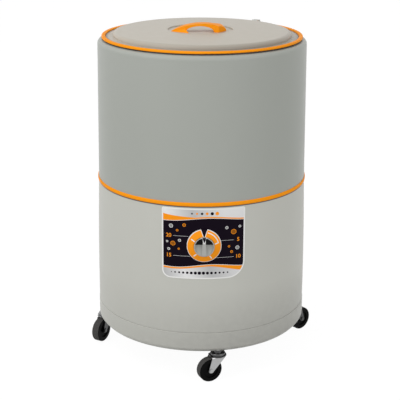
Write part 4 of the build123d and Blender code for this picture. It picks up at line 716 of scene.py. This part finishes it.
# Drain hose: corrugated polyethylene tube with round ribs and plain cuffs, standing up the rear.
# It is open at both ends, pushed over the elbow and the nozzle, and held there by two clamps.
hose_low, hose_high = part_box("drain_hose")
hose_centre = ((hose_low.x + hose_high.x) / 2, (hose_low.y + hose_high.y) / 2)
hose_rib_r = (hose_high.x - hose_low.x) / 2
hose_root_r = hose_rib_r - 0.0018
hose_bore_r = hose_rib_r - 0.0032
hose_cuff_r = hose_rib_r - 0.0003
hose_cuff = 0.026
hose_ribs = 120
hose_round_steps = 32
hose_rib_steps = 6
hose_rib_fullness = 0.7
hose_rib_long = (hose_high.z - hose_low.z - 2 * hose_cuff) / hose_ribs
hose_outline = [
    (hose_bore_r, hose_low.z),
    (hose_cuff_r, hose_low.z),
    (hose_cuff_r, hose_low.z + hose_cuff),
]
for step in range(hose_ribs * hose_rib_steps):
    swell_share = (1 - cos(tau * step / hose_rib_steps)) / 2
    hose_outline.append((
        hose_root_r + (hose_rib_r - hose_root_r) * swell_share ** hose_rib_fullness,
        hose_low.z + hose_cuff + hose_rib_long * step / hose_rib_steps,
    ))
hose_outline += [
    (hose_cuff_r, hose_high.z - hose_cuff),
    (hose_cuff_r, hose_high.z),
    (hose_bore_r, hose_high.z),
]
hose_mesh = spun(hose_outline, hose_round_steps, hose_centre)
lay("ribbed_hose", hose_mesh, light_finish, "cabinet", ("drain_hose",), radians(50))


# Timer dial: orange cone snapped on over the timer's screws, printed with a white edge and four ticks.
# A black wedge marks the off place, and a white arc leads clockwise from it to the first tick.
joints = {joint["name"]: joint for joint in frame["joints"]}
timer_place = Vector(joints["timer_turn"]["pos_m"])
timer_out = -Vector(joints["timer_turn"]["axis"])
timer_side = Vector((0, 0, 1)).cross(timer_out)
timer_minute = radians(15)
knob_low, knob_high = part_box("timer_knob")
knob_r = (knob_high.z - knob_low.z) / 2
tick_from = knob_r + 0.0015
tick_to = knob_r + 0.0125
tick_half = 0.0014
arc_from = radians(14)
arc_wide = 0.0024
dial_edge = 0.0014
wedge_point = knob_r * 0.9
wedge_spread = 0.40
wedge_edge = 0.0015
dial = Finish("dial_orange")
dial_across = dial.along(dial.place(), timer_side) - timer_side.dot(timer_place)
dial_up = dial.axes()[2] - dial_z
dial_reach = dial.length(dial_across, dial_up, 0.0)
dial_print = dial.blend(dial.noise(5, 3) * 0.5, orange_colour, (0.95, 0.305, 0.009, 1))
for minutes in (5, 10, 15, 20):
    turn = minutes * timer_minute
    out_along = dial_across * sin(turn) + dial_up * cos(turn)
    beside = abs(dial_across * cos(turn) - dial_up * sin(turn))
    tick = (beside < tick_half) * within(out_along, tick_from, tick_to)
    dial_print = dial.blend(tick, dial_print, label_white)
dial_angle = dial_across.apply("ARCTAN2", dial_up)
dial_arc = within(dial_angle, arc_from, 5 * timer_minute) * within(dial_reach, tick_to - arc_wide, tick_to)
dial_print = dial.blend(dial_arc, dial_print, label_white)
dial_print = dial.blend(dial_reach > dial_r - dial_edge, dial_print, label_white)
wedge = (dial_up - wedge_point) * wedge_spread - abs(dial_across)
dial_print = dial.blend(wedge > -wedge_edge, dial_print, label_white)
dial_print = dial.blend(wedge > 0.0, dial_print, label_dark)
dress("timer_dial", dial.surface(
    Base_Color=dial_print,
    Roughness=0.34 + dial.noise(40, 2) * 0.06,
    Specular_IOR_Level=0.06,
))


# Timer knob: grey cap on the spindle, with a tapered grip between two pockets that hold a black painted
# shadow at the top.
# Two white lines close to a point at the narrow end of the grip, with black between them.
knob_rim_front = -knob_low.y - 0.0025
pocket_from_depth = 0.0009
pocket_to_depth = 0.0088
pocket_foot = 0.0038
pocket_top = knob_r - 0.0019
mark_point = 0.0075
mark_foot = 0.0095
mark_top = knob_r - 0.0008
mark_spread = 0.34
mark_half = 0.0011
knob_colour = (0.44, 0.443, 0.415, 1)
knob_worn_colour = (0.40, 0.403, 0.376, 1)
pocket_shadow_colour = (0.008, 0.007, 0.007, 1)
knob = Finish("knob_grey")
knob_out = knob.along(knob.place(), timer_out)
knob_across = abs(knob.along(knob.place(), timer_side) - timer_side.dot(timer_place))
knob_up = knob.axes()[2] - dial_z
in_pocket = within(knob_rim_front - knob_out, pocket_from_depth, pocket_to_depth)
# Painted shadow: black in the upper part of each pocket.
pocket_shadow = in_pocket * within(knob_up, pocket_foot, pocket_top)
knob_paint = knob.blend(knob.noise(90, 3) * 0.4, knob_colour, knob_worn_colour)
knob_paint = knob.blend(pocket_shadow, knob_paint, pocket_shadow_colour)
beside_mark = knob_across - (knob_up - mark_point) * mark_spread
mark_high = within(knob_up, mark_foot, mark_top)
knob_paint = knob.blend((beside_mark < 0.0) * mark_high, knob_paint, label_dark)
knob_paint = knob.blend((abs(beside_mark) < mark_half) * mark_high, knob_paint, label_white)
dress("timer_knob", knob.surface(
    Base_Color=knob_paint,
    Roughness=0.38 + knob.noise(40, 2) * 0.08,
    Specular_IOR_Level=0.1,
    Normal=knob.bump(knob.noise(1500, 2), 0.00002),
))


# Casters: pressed forks, zinc-plated, with a polished crown and race over the wheel, darkened by painted
# shade.
# Painted shade darkens the legs of the side ones, and a painted highlight lies along the crown's edge.
# The wheels are moulded in black plastic with a painted highlight on the treads. Their sockets in the pan are
# painted.
dress("caster_sockets", paint_finish)
fork_leg = 0.0435
crown_edge_tall = 0.0022
crown_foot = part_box("caster_fork_front")[0].z + fork_leg
crown_edge = crown_foot - crown_edge_tall
tread_highlight_wide = 0.0010


def fork_finish(side, crown_shade, leg_shade):
    """Zinc plate darkened by painted shade on the crown and on the legs, with a painted highlight on the
    crown's edge.
    """
    fork = Finish(f"caster_fork_{side}")
    height = fork.axes()[2]
    crown = height > crown_foot
    cloud = fork.noise(70, 4)
    plate = fork.blend(cloud, (0.44, 0.45, 0.46, 1), (0.36, 0.36, 0.35, 1))
    # Painted shade on the legs.
    plate = fork.blend((height < crown_edge) * (0.8 + cloud * 0.2) * leg_shade, plate, grey(0.03))
    # A painted highlight along the crown's edge.
    plate = fork.blend(within(height, crown_edge, crown_foot), plate, grey(0.95))
    # Painted shade darkens the crown.
    return fork.surface(
        Base_Color=fork.blend(crown * (0.7 + cloud * 0.3) * crown_shade, plate, grey(0.05)),
        Metallic=1.0,
        Roughness=0.26 + cloud * 0.14 - crown * 0.12,
        Normal=fork.bump(fork.noise(900, 2, (1, 1, 0.12)), 0.00001),
    )


def wheel_finish(side):
    """Black plastic wheel with scuffs, and a painted highlight on the tread."""
    low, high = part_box(f"caster_wheel_{side}")
    roll = joints[f"roll_{side}"]
    wheel = Finish(f"wheel_{side}")
    from_axle = {0: wheel.place(), 1: tuple(roll["pos_m"])}
    arm = wheel.node("VectorMath", {"operation": "SUBTRACT"}, from_axle, out="Vector")
    along = wheel.along(arm, roll["axis"])
    reach = wheel.node("VectorMath", {"operation": "LENGTH"}, {0: arm}, out="Value")
    spread = (reach * reach - along * along).apply("SQRT")
    # A painted highlight on the tread.
    tread_highlight = spread > (high.z - low.z) / 2 - tread_highlight_wide
    scuffs = wheel.noise(220, 4)
    return wheel.surface(
        Base_Color=wheel.blend(tread_highlight * (0.4 + scuffs * 0.6), grey(0.002), grey(0.10, 0.03)),
        Roughness=0.46 + tread_highlight * 0.14 + scuffs * 0.1,
        Specular_IOR_Level=0.05,
        Normal=wheel.bump(scuffs, 0.00005),
    )


for side, crown_shade, leg_shade in (
    ("front", 1.0, 0.0), ("right", 1.0, 0.95), ("rear", 0.8, 0.5), ("left", 0.5, 0.95),
):
    packed_fork = f"caster_fork_{side}"
    side_finish = fork_finish(side, crown_shade, leg_shade)
    softened(packed_fork, f"pressed_fork_{side}", side_finish, f"caster_{side}", width=0.0006)
    dress(f"caster_wheel_{side}", wheel_finish(side))
